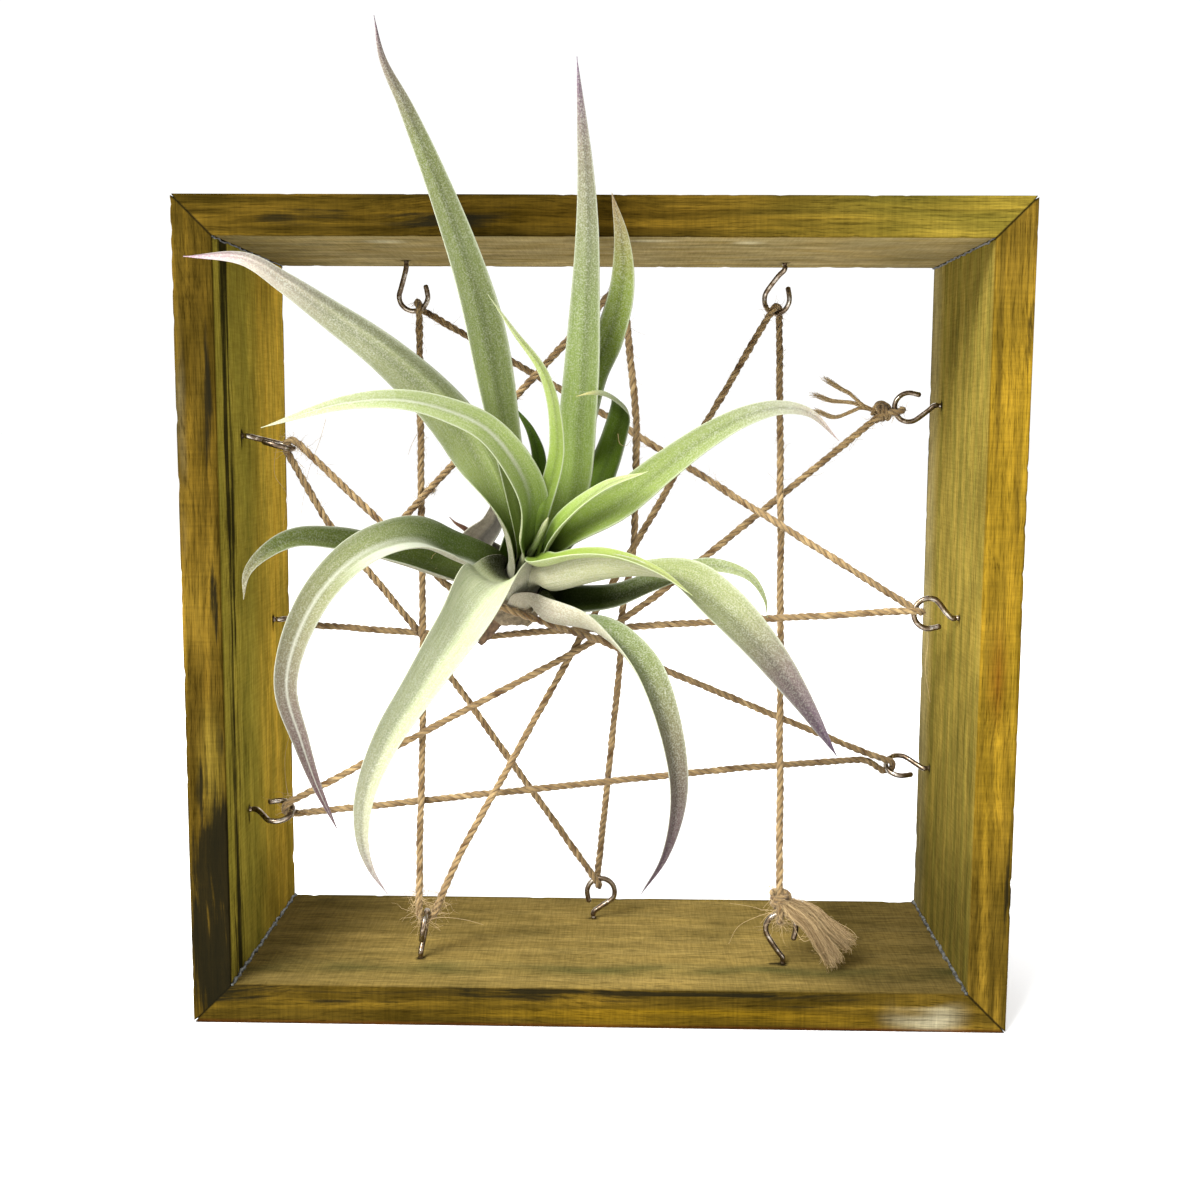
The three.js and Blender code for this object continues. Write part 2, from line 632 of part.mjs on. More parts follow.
// Where the string rides on a hook: the far part of the round wire, towards the pull
function hookSeat(hook, pull) {
  const { place, open, flat, inward } = hookFrame(hook);
  const angle = THREE.MathUtils.clamp(Math.atan2(pull.dot(inward), pull.dot(open)), 0.5, 2.6);
  const seat = place(hook.offset + HOOK_BEND * Math.cos(angle), hook.reach + HOOK_BEND * Math.sin(angle));
  const bay = place(hook.offset, hook.reach).sub(seat).normalize();
  return { seat, bay, flat: flat.clone() };
}

// The half turn round a hook's wire, from where the string comes in to where it leaves
function hookWrap(hook, before, after) {
  const foot = hookFrame(hook).place(hook.offset, hook.reach + HOOK_BEND);
  const toBefore = new THREE.Vector3().subVectors(before, foot).normalize();
  const toAfter = new THREE.Vector3().subVectors(after, foot).normalize();
  const { seat, bay, flat } = hookSeat(hook, new THREE.Vector3().addVectors(toBefore, toAfter).normalize());
  if (toBefore.dot(flat) < toAfter.dot(flat)) flat.negate();
  const inPlane = (direction) => [direction.dot(flat), direction.dot(bay)];
  const [beforeFlat, beforeBay] = inPlane(toBefore);
  const [afterFlat, afterBay] = inPlane(toAfter);
  const from = Math.atan2(beforeFlat, -beforeBay);
  let to = Math.atan2(-afterFlat, afterBay);
  if (to < from) to += 2 * Math.PI;
  const steps = Math.max(Math.ceil((to - from) / THREE.MathUtils.degToRad(36)), 3);
  const points = [];
  for (let step = 0; step <= steps; step++) {
    const angle = from + ((to - from) * step) / steps;
    points.push(
      seat
        .clone()
        .addScaledVector(flat, WRAP_RADIUS * Math.cos(angle))
        .addScaledVector(bay, WRAP_RADIUS * Math.sin(angle)),
    );
  }
  return points;
}

// At each end the string goes once round the wire and comes back to a knot on itself
function tiedEnd(hookName) {
  const hook = HOOKS[hookName];
  const knot = toPoint(KNOTS[hookName]);
  const foot = hookFrame(hook).place(hook.offset, hook.reach);
  const pull = new THREE.Vector3().subVectors(knot, foot).normalize();
  const { flat } = hookSeat(hook, pull);
  const spread = STRING_RADIUS + 0.2;
  const start = knot.clone().addScaledVector(flat, spread);
  const back = knot.clone().addScaledVector(flat, -spread);
  return { knot, pull, flat, points: [start, ...hookWrap(hook, start, back), back] };
}

// The knot's body is an oval lump that hides both legs of the loop
function knotLump({ knot, pull, flat }) {
  const side = new THREE.Vector3().crossVectors(flat, pull).normalize();
  const lump = new THREE.SphereGeometry(1, 10, 8);
  lump.rotateX(0.3);
  lump.scale(KNOT_SIZE.thick, KNOT_SIZE.thick, KNOT_SIZE.wide);
  lump.applyMatrix4(new THREE.Matrix4().makeBasis(side, flat, pull));
  return lump.translate(knot.x, knot.y, knot.z);
}

// Loose tails beyond the knots, frayed into thicker ends or parted into plies
const TAILS = {
  right_top: {
    from: 0.8, to: 0.7,
    ends: [
      [[87.9, 24, 194.1], [74.7, 22.5, 203.1]],
      [[87, 24.6, 194], [70.7, 25.5, 197.7]],
      [[88, 25, 193], [71.2, 26.5, 192]],
    ],
  },
  bottom_right: {
    from: 1.3, to: 2.2,
    ends: [
      [[66, -20, 32], [72, -21, 28], [82.6, -24, 20.5]],
      [[64, -24, 31], [70, -26, 25], [76.2, -29, 15.5]],
    ],
  },
};

function tails(hookName, knot) {
  const { from, to, ends } = TAILS[hookName];
  return ends.map((places) => {
    const line = new THREE.CatmullRomCurve3([knot, ...places.map(toPoint)]);
    return taperedTube(line, from, to, 5, 6);
  });
}

// Between hooks the string heads for its next bend, or else for the next hook
function string() {
  const hookPoint = ([name]) => {
    const hook = HOOKS[name];
    return hookFrame(hook).place(hook.offset, hook.reach + HOOK_BEND);
  };
  const points = [];
  const ties = [];
  LACING.forEach((row, index) => {
    const [name, ...bends] = row;
    const earlier = LACING[index - 1];
    const later = LACING[index + 1];
    if (!earlier || !later) {
      const tie = tiedEnd(name);
      ties.push({ name, ...tie });
      points.push(...(earlier ? tie.points.reverse() : tie.points));
    } else {
      const before = earlier.length > 1 ? toPoint(earlier.at(-1)) : hookPoint(earlier);
      const after = bends.length > 0 ? toPoint(bends[0]) : hookPoint(later);
      points.push(...hookWrap(HOOKS[name], before, after));
    }
    points.push(...bends.map(toPoint));
  });
  const pieces = [tube(points, STRING_RADIUS)];
  for (const tie of ties) pieces.push(knotLump(tie), ...tails(tie.name, tie.knot));
  return join(pieces);
}

addPart("string", string(), stringLook);

export default plant;
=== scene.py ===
import math
import random
from collections import namedtuple

import bpy
import numpy as np
from mathutils import Matrix, Vector, noise


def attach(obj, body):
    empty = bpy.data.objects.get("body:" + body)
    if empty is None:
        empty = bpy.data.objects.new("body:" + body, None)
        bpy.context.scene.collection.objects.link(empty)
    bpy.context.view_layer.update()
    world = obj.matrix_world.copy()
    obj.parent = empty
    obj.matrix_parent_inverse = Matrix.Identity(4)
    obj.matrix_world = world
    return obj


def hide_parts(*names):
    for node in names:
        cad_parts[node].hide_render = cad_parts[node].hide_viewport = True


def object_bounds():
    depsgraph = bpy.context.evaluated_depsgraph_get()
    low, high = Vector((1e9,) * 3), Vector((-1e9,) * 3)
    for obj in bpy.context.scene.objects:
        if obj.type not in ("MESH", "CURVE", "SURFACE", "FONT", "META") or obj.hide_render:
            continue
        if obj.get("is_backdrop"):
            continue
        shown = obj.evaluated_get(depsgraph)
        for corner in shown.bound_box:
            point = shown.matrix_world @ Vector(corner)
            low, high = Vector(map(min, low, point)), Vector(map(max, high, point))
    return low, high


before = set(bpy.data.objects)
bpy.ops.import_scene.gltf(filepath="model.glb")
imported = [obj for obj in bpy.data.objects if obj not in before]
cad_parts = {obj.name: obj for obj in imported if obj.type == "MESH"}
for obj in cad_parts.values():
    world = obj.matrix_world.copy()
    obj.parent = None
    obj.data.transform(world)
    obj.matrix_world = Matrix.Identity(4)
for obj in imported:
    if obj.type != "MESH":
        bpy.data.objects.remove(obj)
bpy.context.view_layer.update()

MM = 0.001
TURN = 2 * math.pi
rng = random.Random(41)

# The frame
FRAME_SIDE = 254.0
FRAME_DEPTH = 90.0
BOARD = 12.0
JOINT_GAP = 0.3
HALF = FRAME_SIDE / 2
HALF_DEPTH = FRAME_DEPTH / 2
EASED = 0.5
CORNER_CUT = 1.5
MITRE_GAP = 0.04  # from each board's end to the mitre's plane

# Fixings and string
WIRE_RADIUS = 0.9
HOOK_BEND = 4.9
SCREW_DEPTH = 8.5
THREAD_PITCH = 1.1
STRING_RADIUS = 1.25
PLIES = 3
PLY_RADIUS = 0.66
PLY_OFFSET = 0.6
PLY_PITCH = 8.5
PLY_SIDES = 7
STRING_STEP = 0.62
ROUNDED_BEND = 3.0
KNOT_RADIUS = 2.1
KNOT_HALF = 2.3

# The plant
ROSETTE_FOOT = np.array([-30.0, -2.0, 130.0])
ROSETTE_AXIS = np.array([0.27, -0.77, 0.58])
ROSETTE_AXIS /= np.linalg.norm(ROSETTE_AXIS)
HEAD_RADIUS = 11.2
HEAD_HEIGHT = 15
HEAD_SLOPE = 0.72
SHEATH_PITCH = 1.4
SHEATH_THICKNESS = 0.9
LEAF_THICKNESS = 1.15
TIP_THICKNESS = 0.4
LEAF_STEP = 1.25

# The photo's camera, found from the frame's corners
CAMERA_PLACE = (9.045, -487.506, 189.630)
CAMERA_YAW, CAMERA_PITCH, CAMERA_ROLL = -1.162, -7.066, 0.315
CAMERA_LENS = 44.37

LIGHT_LEVEL = 2.4  # a colour as seen in the photo is its own colour times this


def unit(v):
    return v / max(np.linalg.norm(v), 1e-12)


def mix(a, b, t):
    return a + (b - a) * t


def blend(a, b, t):
    """A mix that is exact at both ends, for colours and arrays."""
    return a * (1 - t) + b * t


def smooth(t):
    t = np.clip(t, 0.0, 1.0)
    return t * t * (3 - 2 * t)


def linear(rgb):
    """A colour as seen, 0 to 255, as the linear colour of the surface itself."""
    c = np.array(rgb) / 255
    return np.where(c <= 0.04045, c / 12.92, ((c + 0.055) / 1.055) ** 2.4) / LIGHT_LEVEL


def noise_at(points, scale, seed=0.0):
    """Smooth noise, about -1 to 1, at each point in millimetres."""
    shift = Vector((seed * 17.3, seed * -9.1, seed * 5.7))
    return np.array([noise.noise(Vector(p) * scale + shift) for p in points])


def noise_along(runs, scale, second, third):
    """Smooth noise for each place along a line; the other two numbers pick the noise."""
    return np.array([noise.noise(Vector((a * scale, second, third))) for a in runs])


def gauss_vector():
    return np.array([rng.gauss(0, 1) for _ in range(3)])


# Curves
def catmull(points, per_span=24):
    """A centripetal Catmull-Rom curve through the points, as close samples."""
    p = [np.array(q, float) for q in points]
    out = []
    for i in range(len(p) - 1):
        b, c = p[i], p[i + 1]
        a = p[i - 1] if i else 2 * b - c
        d = p[i + 2] if i + 2 < len(p) else 2 * c - b
        k0, k1, k2 = (max(np.linalg.norm(y - x) ** 0.5, 1e-4) for x, y in ((a, b), (b, c), (c, d)))
        m1 = ((b - a) / k0 - (c - a) / (k0 + k1) + (c - b) / k1) * k1
        m2 = ((c - b) / k1 - (d - b) / (k1 + k2) + (d - c) / k2) * k1
        for step in range(per_span):
            t = step / per_span
            out.append(b + m1 * t + (3 * (c - b) - 2 * m1 - m2) * t**2 + (2 * (b - c) + m1 + m2) * t**3)
    out.append(p[-1])
    return np.array(out)


def rounded_line(points, cut):
    """Straight spans with each corner rounded off over at most that length."""
    p = [np.array(q, float) for q in points]
    out = [p[0]]
    for i in range(1, len(p) - 1):
        before, after = p[i - 1] - p[i], p[i + 1] - p[i]
        near = min(cut, 0.5 * np.linalg.norm(before), 0.5 * np.linalg.norm(after))
        start, end = p[i] + unit(before) * near, p[i] + unit(after) * near
        for t in np.linspace(0, 1, 6):
            out.append(start * (1 - t) ** 2 + 2 * p[i] * t * (1 - t) + end * t**2)
    out.append(p[-1])
    return np.array(out)


def respace(line, step):
    """The line as evenly spaced points; also its length."""
    runs = np.linalg.norm(np.diff(line, axis=0), axis=1)
    along = np.concatenate([[0], np.cumsum(runs)])
    length = along[-1]
    at = np.linspace(0, length, max(int(round(length / step)), 2) + 1)
    return np.stack([np.interp(at, along, line[:, k]) for k in range(3)], axis=1), length


def tangents_of(line):
    t = np.gradient(line, axis=0)
    return t / np.maximum(np.linalg.norm(t, axis=1), 1e-9)[:, None]


def carried(tangents, first):
    """A direction square to the line, carried along it without turning about it."""
    out = []
    facing = np.array(first, float)
    for t in tangents:
        facing = unit(facing - t * facing.dot(t))
        out.append(facing.copy())
    return np.array(out)


def any_square(direction):
    guess = np.array([0.0, 0.0, 1.0]) if abs(direction[2]) < 0.9 else np.array([1.0, 0.0, 0.0])
    return unit(np.cross(direction, guess))


def axes_along(line, first=None):
    """Two directions square to a line, and to each other, at each of its points."""
    tangents = tangents_of(line)
    normals = carried(tangents, any_square(tangents[0]) if first is None else first)
    return normals, np.cross(tangents, normals)


def swept(line, radii, sides, first=None):
    """The points of a round tube's rings; radii is one number or one for each point."""
    normals, sideways = axes_along(line, first)
    radii = np.broadcast_to(np.asarray(radii, float), (len(line),))[:, None]
    a = np.arange(sides) * TURN / sides
    return (
        line[:, None, :]
        + normals[:, None, :] * (np.cos(a) * radii)[..., None]
        + sideways[:, None, :] * (np.sin(a) * radii)[..., None]
    ).reshape(-1, 3)


# Meshes
def loft_faces(rings, around, start):
    faces = []
    for r in range(rings - 1):
        low = start + r * around
        for i in range(around):
            j = (i + 1) % around
            faces.append((low + i, low + j, low + around + j, low + around + i))
    faces.append(tuple(start + i for i in reversed(range(around))))
    last = start + (rings - 1) * around
    faces.append(tuple(last + i for i in range(around)))
    return faces


class Builder:
    """Collects closed lofts, with a colour and a UV place at each point, for one mesh piece."""

    def __init__(self):
        self.points, self.faces, self.colours, self.places = [], [], [], []
        self.count = 0

    def add(self, points, rings, colour, places=None, flipped=False):
        n = len(points)
        faces = loft_faces(rings, n // rings, self.count)
        self.faces += [face[::-1] for face in faces] if flipped else faces
        self.points.append(points)
        self.colours.append(np.broadcast_to(colour, (n, np.shape(colour)[-1])))
        self.places.append(np.zeros((n, 2)) if places is None else places)
        self.count += n

    def piece(self, name, material, slot, replaced=(), smooth_angle=None):
        mesh = bpy.data.meshes.new(name)
        mesh.from_pydata((np.concatenate(self.points) * MM).tolist(), [], self.faces)
        colours = np.concatenate(self.colours)
        if colours.shape[1] == 3:
            colours = np.concatenate([colours, np.ones((len(colours), 1))], axis=1)
        layer = mesh.color_attributes.new("tint", "FLOAT_COLOR", "POINT")
        layer.data.foreach_set("color", colours.astype(np.float32).ravel())
        uv = mesh.uv_layers.new(name="UVMap")
        corner = np.zeros(len(mesh.loops), np.int32)
        mesh.loops.foreach_get("vertex_index", corner)
        uv.data.foreach_set("uv", np.concatenate(self.places)[corner].astype(np.float32).ravel())
        mesh.polygons.foreach_set("use_smooth", np.ones(len(mesh.polygons), bool))
        mesh.materials.append(material)
        mesh.update()
        if smooth_angle:
            mesh.set_sharp_from_angle(angle=math.radians(smooth_angle))
        obj = bpy.data.objects.new(name, mesh)
        bpy.context.scene.collection.objects.link(obj)
        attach(obj, "root")
        if replaced:
            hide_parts(*replaced)


# Materials
class Look:
    """A material and short calls for its nodes. The tint is the mesh's colour, painted light and shade included
    on some pieces, with an alpha.
    """

    def __init__(self, name, settings):
        self.mat = bpy.data.materials.new(name)
        self.mat.use_nodes = True
        self.tree = self.mat.node_tree
        self.tree.nodes.clear()
        self.inputs, shader = self.node("BsdfPrincipled", settings)
        self.node("OutputMaterial", {"Surface": shader[0]})
        _, where = self.node("TexCoord")
        self.place, self.uv = where["Object"], where["UV"]
        _, tint = self.node("Attribute", attribute_type="GEOMETRY", attribute_name="tint")
        self.tint, self.tint_alpha = tint["Color"], tint["Alpha"]

    def node(self, kind, values=(), **settings):
        """A new node, with a value or a link for each input that is named; its inputs and outputs."""
        node = self.tree.nodes.new("ShaderNode" + kind)
        for key, value in settings.items():
            setattr(node, key, value)
        for key, value in dict(values).items():
            self.put(node.inputs[key], value)
        return node.inputs, node.outputs

    def put(self, socket, value):
        if isinstance(value, bpy.types.NodeSocket):
            self.tree.links.new(value, socket)
        else:
            socket.default_value = (*value, 1) if socket.type == "RGBA" else value

    def math(self, operation, *values, clamp=False):
        return self.node("Math", enumerate(values), operation=operation, use_clamp=clamp)[1][0]

    def noise(self, scale, detail, rough, stretch=(1, 1, 1), over=None):
        over = self.place if over is None else over
        _, placed = self.node("Mapping", {"Vector": over, "Scale": stretch})
        values = {"Vector": placed[0], "Scale": scale, "Detail": detail, "Roughness": rough}
        return self.node("TexNoise", values)[1]["Fac"]

    def ramp(self, fac, *stops):
        """A colour for each value, from stops of a place and a colour or a grey."""
        node = self.tree.nodes.new("ShaderNodeValToRGB")
        elements = node.color_ramp.elements
        while len(elements) < len(stops):
            elements.new(0.5)
        for element, (place, colour) in zip(elements, stops):
            element.position = place
            element.color = (*((colour,) * 3 if np.isscalar(colour) else colour), 1)
        self.put(node.inputs["Fac"], fac)
        return node.outputs["Color"]

    def mixed(self, share, a, b, blend_type="MIX"):
        return self.node("Mix", {0: share, 6: a, 7: b}, data_type="RGBA", blend_type=blend_type)[1][2]

    def times(self, a, b, share=1.0):
        return self.mixed(share, a, b, "MULTIPLY")

    def bump(self, height, strength, distance_mm, under=None):
        values = {"Strength": strength, "Distance": distance_mm * MM, "Height": height}
        if under is not None:
            values["Normal"] = under
        return self.node("Bump", values)[1][0]

    def dress(self, colour, normal=None):
        self.put(self.inputs["Base Color"], colour)
        if normal is not None:
            self.put(self.inputs["Normal"], normal)
        return self.mat


SCALES_PALE = linear((240, 243, 224))
CREASE_HIGHLIGHT = linear((244, 246, 226))


def leaf_material(name, silver, crease_highlight=0.0):
    """Green tissue under fine silvery scales; the tint's alpha says how thickly they lie. A crease highlight is
    a
    painted highlight: a pale line along the crease."""
    look = Look(name, {
        "Roughness": 0.62, "Specular IOR Level": 0.04, "Subsurface Weight": 0.08,
        "Subsurface Radius": (0.0012, 0.0018, 0.0006),
    })
    scales = look.noise(2200, 3, 0.65)
    patches = look.noise(420, 3, 0.55)
    lines = look.noise(1.0, 3, 0.6, (26, 0.9, 1), look.uv)
    lined = look.ramp(lines, (0.3, (0.66, 0.72, 0.6)), (0.62, (1.12, 1.1, 1.14)))
    amount = look.math("MULTIPLY", look.tint_alpha, silver)
    amount = look.math("MULTIPLY", amount, look.math("MULTIPLY_ADD", patches, 0.9, 0.1))
    amount = look.math("MULTIPLY", amount, look.ramp(scales, (0.45, 0), (0.62, 1)), clamp=True)
    top = look.mixed(amount, look.times(look.tint, lined, 0.75), SCALES_PALE)
    # Painted highlight: a pale line down the crease, where the fold catches the light
    if crease_highlight:
        _, split = look.node("SeparateXYZ", {0: look.uv})
        line = look.ramp(look.math("ABSOLUTE", split["X"]), (0.02, crease_highlight), (0.2, 0))
        along = look.math("MULTIPLY", split["Y"], 0.1, clamp=True)
        line = look.math("MULTIPLY", line, look.ramp(along, (0.3, 0), (0.6, 1)))
        top = look.mixed(line, top, CREASE_HIGHLIGHT)
    return look.dress(top, look.bump(lines, 0.25, 0.25, look.bump(scales, 0.35, 0.12)))


def dry_material():
    look = Look("dry_leaf_skin", {"Roughness": 0.85})
    grain = look.noise(900, 4, 0.65)
    lines = look.noise(1.0, 3, 0.6, (18, 1.2, 1), look.uv)
    base = look.times(look.tint, look.ramp(grain, (0.3, (0.6, 0.57, 0.52)), (0.7, (1.15, 1.12, 1.1))), 0.8)
    base = look.times(base, look.ramp(lines, (0.3, (0.7, 0.66, 0.6)), (0.65, (1.05, 1.03, 1.0))), 0.8)
    return look.dress(base, look.bump(lines, 0.5, 0.3, look.bump(grain, 0.4, 0.2)))


def jute_material():
    look = Look("jute_plies", {"Roughness": 0.85, "Specular IOR Level": 0.2, "Sheen Weight": 0.15})
    fibres = look.noise(1.0, 4, 0.65, (9, 0.35, 1), look.uv)
    patches = look.noise(120, 2, 0.5)
    shade = look.ramp(fibres, (0.28, (0.38, 0.33, 0.27)), (0.5, (0.92, 0.9, 0.86)), (0.72, (1.6, 1.6, 1.58)))
    blotch = look.ramp(patches, (0.3, (0.82, 0.8, 0.76)), (0.7, 1.12))
    return look.dress(look.times(look.times(look.tint, shade), blotch), look.bump(fibres, 0.8, 0.25))


def fibre_material():
    look = Look("jute_fibre", {"Roughness": 0.6, "Specular IOR Level": 0.3})
    return look.dress(look.tint)


def metal_material():
    look = Look("hook_bronze", {"Metallic": 1.0})
    glint_patches = look.noise(420, 4, 0.6)
    look.put(look.inputs["Roughness"], look.ramp(glint_patches, (0.3, 0.42), (0.7, 0.16)))
    # Painted highlights: the colour runs in patches from dark bronze to near white, standing in for glints of
    # the lights; the bright patches are also the smoothest
    worn = ((0.3, linear((96, 78, 60))), (0.5, linear((168, 146, 122))), (0.66, linear((255, 246, 232))))
    return look.dress(look.ramp(glint_patches, *worn), look.bump(glint_patches, 0.15, 0.08))


def brad_material():
    look = Look("brad_steel", {"Metallic": 0.9, "Roughness": 0.45})
    return look.dress(look.ramp(look.noise(900, 3, 0.6), (0.3, (0.22, 0.2, 0.17)), (0.7, (0.5, 0.5, 0.48))))


def rough_material(name, roughness, scale, scale_rough, dark, light, strength, depth_mm):
    """The tint under an even, bumpy grain."""
    look = Look(name, {"Roughness": roughness})
    grain = look.noise(scale, 4, scale_rough)
    shaded = look.times(look.tint, look.ramp(grain, (0.3, dark), (0.7, light)))
    return look.dress(shaded, look.bump(grain, strength, depth_mm))


def wood_material(name, grain_axis, streaky=0.7, banded=0.8, sawn=0.38):
    """Stained softwood: the tint is its stain, with some painted light and shade, and its alpha how black it is,
    under grain, pores and saw marks. The last three say how strongly the streaks, bands and saw marks show."""
    look = Look(name, {"Roughness": 0.8, "Specular IOR Level": 0.0})

    def stretch(along, across):
        return (along, across, across) if grain_axis == "x" else (across, across, along)

    # The grain wanders a little
    shift = (0, 0.012, 0.012) if grain_axis == "x" else (0.012, 0.012, 0)
    values = {0: look.noise(34, 2, 0.5, stretch(0.25, 1)), 1: shift, 2: look.place}
    grain = look.node("VectorMath", values, operation="MULTIPLY_ADD")[1][0]
    streaks = look.noise(820, 6, 0.68, stretch(0.025, 1), grain)
    bands = look.noise(210, 3, 0.55, stretch(0.02, 1), grain)
    pores = look.noise(2300, 3, 0.7, stretch(0.05, 1), grain)
    clouds = look.noise(75, 5, 0.6, stretch(0.45, 1))
    saw = look.noise(1300, 3, 0.65, stretch(1, 0.06))
    base = look.tint
    for share, marks, *stops in (
        (streaky, streaks, (0.3, (0.46, 0.45, 0.42)), (0.47, (0.9, 0.89, 0.86)), (0.6, (1.1, 1.1, 1.06)),
         (0.75, (1.42, 1.42, 1.38))),
        (banded, bands, (0.32, (0.78, 0.79, 0.76)), (0.5, 1.0), (0.7, (1.16, 1.14, 1.1))),
        (0.75, pores, (0.34, (0.36, 0.35, 0.3)), (0.47, 1), (0.62, (1.35, 1.33, 1.25))),
        (0.9, clouds, (0.32, (0.72, 0.73, 0.68)), (0.68, (1.22, 1.2, 1.14))),
        (sawn, saw, (0.36, (0.72, 0.72, 0.7)), (0.64, (1.2, 1.2, 1.18))),
    ):
        base = look.times(base, look.ramp(marks, *stops), share)
    # The black stain breaks up along the grain
    dark = look.math("ADD", look.math("MULTIPLY_ADD", streaks, -1.5, 0.75), look.tint_alpha)
    dark = look.math("ADD", dark, look.math("MULTIPLY_ADD", clouds, -0.9, 0.45))
    base = look.mixed(look.ramp(dark, (0.38, 0), (0.8, 0.92)), base, linear((30, 28, 18)))
    fine = look.bump(saw, 0.4, 0.15, look.bump(pores, 0.4, 0.2))
    return look.dress(base, look.bump(streaks, 0.4, 0.3, fine))


# The camera, first, at the photo's own place
def place_camera():
    yaw, pitch, roll = (math.radians(a) for a in (CAMERA_YAW, CAMERA_PITCH, CAMERA_ROLL))
    ahead = Vector((math.sin(yaw) * math.cos(pitch), math.cos(yaw) * math.cos(pitch), math.sin(pitch)))
    right = Vector((math.cos(yaw), -math.sin(yaw), 0))
    up = right.cross(ahead)
    turned_right = right * math.cos(roll) + up * math.sin(roll)
    turned_up = up * math.cos(roll) - right * math.sin(roll)
    data = bpy.data.cameras.new("photo_camera")
    data.lens = CAMERA_LENS
    data.sensor_width = 36.0
    data.clip_start = 0.01
    data.clip_end = 50
    cam = bpy.data.objects.new("photo_camera", data)
    turn = Matrix((turned_right, turned_up, -ahead)).transposed().to_4x4()
    cam.matrix_world = Matrix.Translation(Vector(CAMERA_PLACE) * MM) @ turn
    bpy.context.scene.collection.objects.link(cam)
    bpy.context.scene.camera = cam


place_camera()

# Boards: the way each runs, and the way to the middle of the frame
SIDES = {
    "top": (np.array([1.0, 0, 0]), np.array([0, 0, -1.0])),
    "bottom": (np.array([1.0, 0, 0]), np.array([0, 0, 1.0])),
    "left": (np.array([0, 0, 1.0]), np.array([1.0, 0, 0])),
    "right": (np.array([0, 0, 1.0]), np.array([-1.0, 0, 0])),
}
DEPTHWAYS = np.array([0.0, 1.0, 0.0])
FRAME_CENTRE = np.array([0.0, 0.0, HALF])


def on_side(name, s, d, h):
    """The place s along a board, d in depth and h above its outer face."""
    along, inward = SIDES[name]
    return FRAME_CENTRE + along * s + DEPTHWAYS * d + inward * (h - HALF)


# Each hook's place on its board; swing is the way that it opens, in degrees, offset how far its bend
# stands to the side of its shank, reach how far out, and lean how far it leans out of its own plane
Hook = namedtuple("Hook", "side along depth swing offset reach lean")
HOOKS = {
    "top_left": Hook("top", -68, 25, 0, 2.4, 12, 0),
    "top_middle": Hook("top", 4, -17, 90, 0, 11.5, 0),
    "top_right": Hook("top", 61, 28.5, -35, -2.8, 12, 0),
    "left_top": Hook("left", 56, -16, -90, 0, 11.5, 4.5),
    "left_middle": Hook("left", -8, 20, -90, 0, 11, -1),
    "left_bottom": Hook("left", -65.5, -18, 62, -0.6, 9.5, 0),
    "right_top": Hook("right", 67, 25, 0, -0.6, 11, 0),
    "right_middle": Hook("right", -1, -14, 180, -1.4, 9.7, 0),
    "right_bottom": Hook("right", -59.5, 24, 237, -1.2, 10.3, 0),
    "bottom_left": Hook("bottom", -59, -19, -90, 0, 11, 2.4),
    "bottom_middle": Hook("bottom", -3, 22, 180, -2.6, 9.9, 0),
    "bottom_right": Hook("bottom", 60, -20, 0, -0.8, 12, 0),
}

# Stain, in the photo's own tones. Black goes into the tint's alpha, and the material breaks it up.
OLIVE = linear((112, 90, 32))
GOLD = linear((158, 126, 44))
DEEP = linear((78, 62, 18))
GREENISH = linear((104, 98, 38))
GREYED = linear((150, 138, 104))
WHITED = linear((196, 188, 160))
BLACK = None

# Painted light: the inner faces get little of the key light, and their stain looks lighter than that light
# gives, so they are painted lighter by these factors
INNER_PAINTED_LIGHT = {"left": 3.0, "right": 1.6, "top": 2.0, "bottom": 1.5}
# How light the stain lies on the front faces: places along each board, and the tone there
FRONT_TONE = {
    "top": ((-108, -62, 0, 68, 112), (0.55, 0.36, 0.45, 0.84, 1.6)),
    "left": ((-60, -30, 4, 34, 92), (0.5, 0.5, 1.25, 0.6, 0.6)),
    "right": ((-110, -20, 60), (0.9, 0.85, 1.0)),
    "bottom": ((-110, 60, 100), (0.7, 0.6, 0.8)),
}
# Painted shade along the inner faces, darker towards the corners where the boards shade each other: places along
# each board, and the tone there
INNER_SHADING = {
    "left": ((-100, -60, 60), (0.72, 1.0, 1.08)),
    "right": ((-100, -65, -10, 100), (0.5, 0.78, 1.05, 1.15)),
    "bottom": ((-100, -60, 55, 85), (0.72, 1.0, 1.08, 0.55)),
}


def blob(a, b, at, reach):
    """1 at a place on a board's face, falling to 0 over its reach along and across."""
    return smooth(1 - np.sqrt(((a - at[0]) / reach[0]) ** 2 + ((b - at[1]) / reach[1]) ** 2))


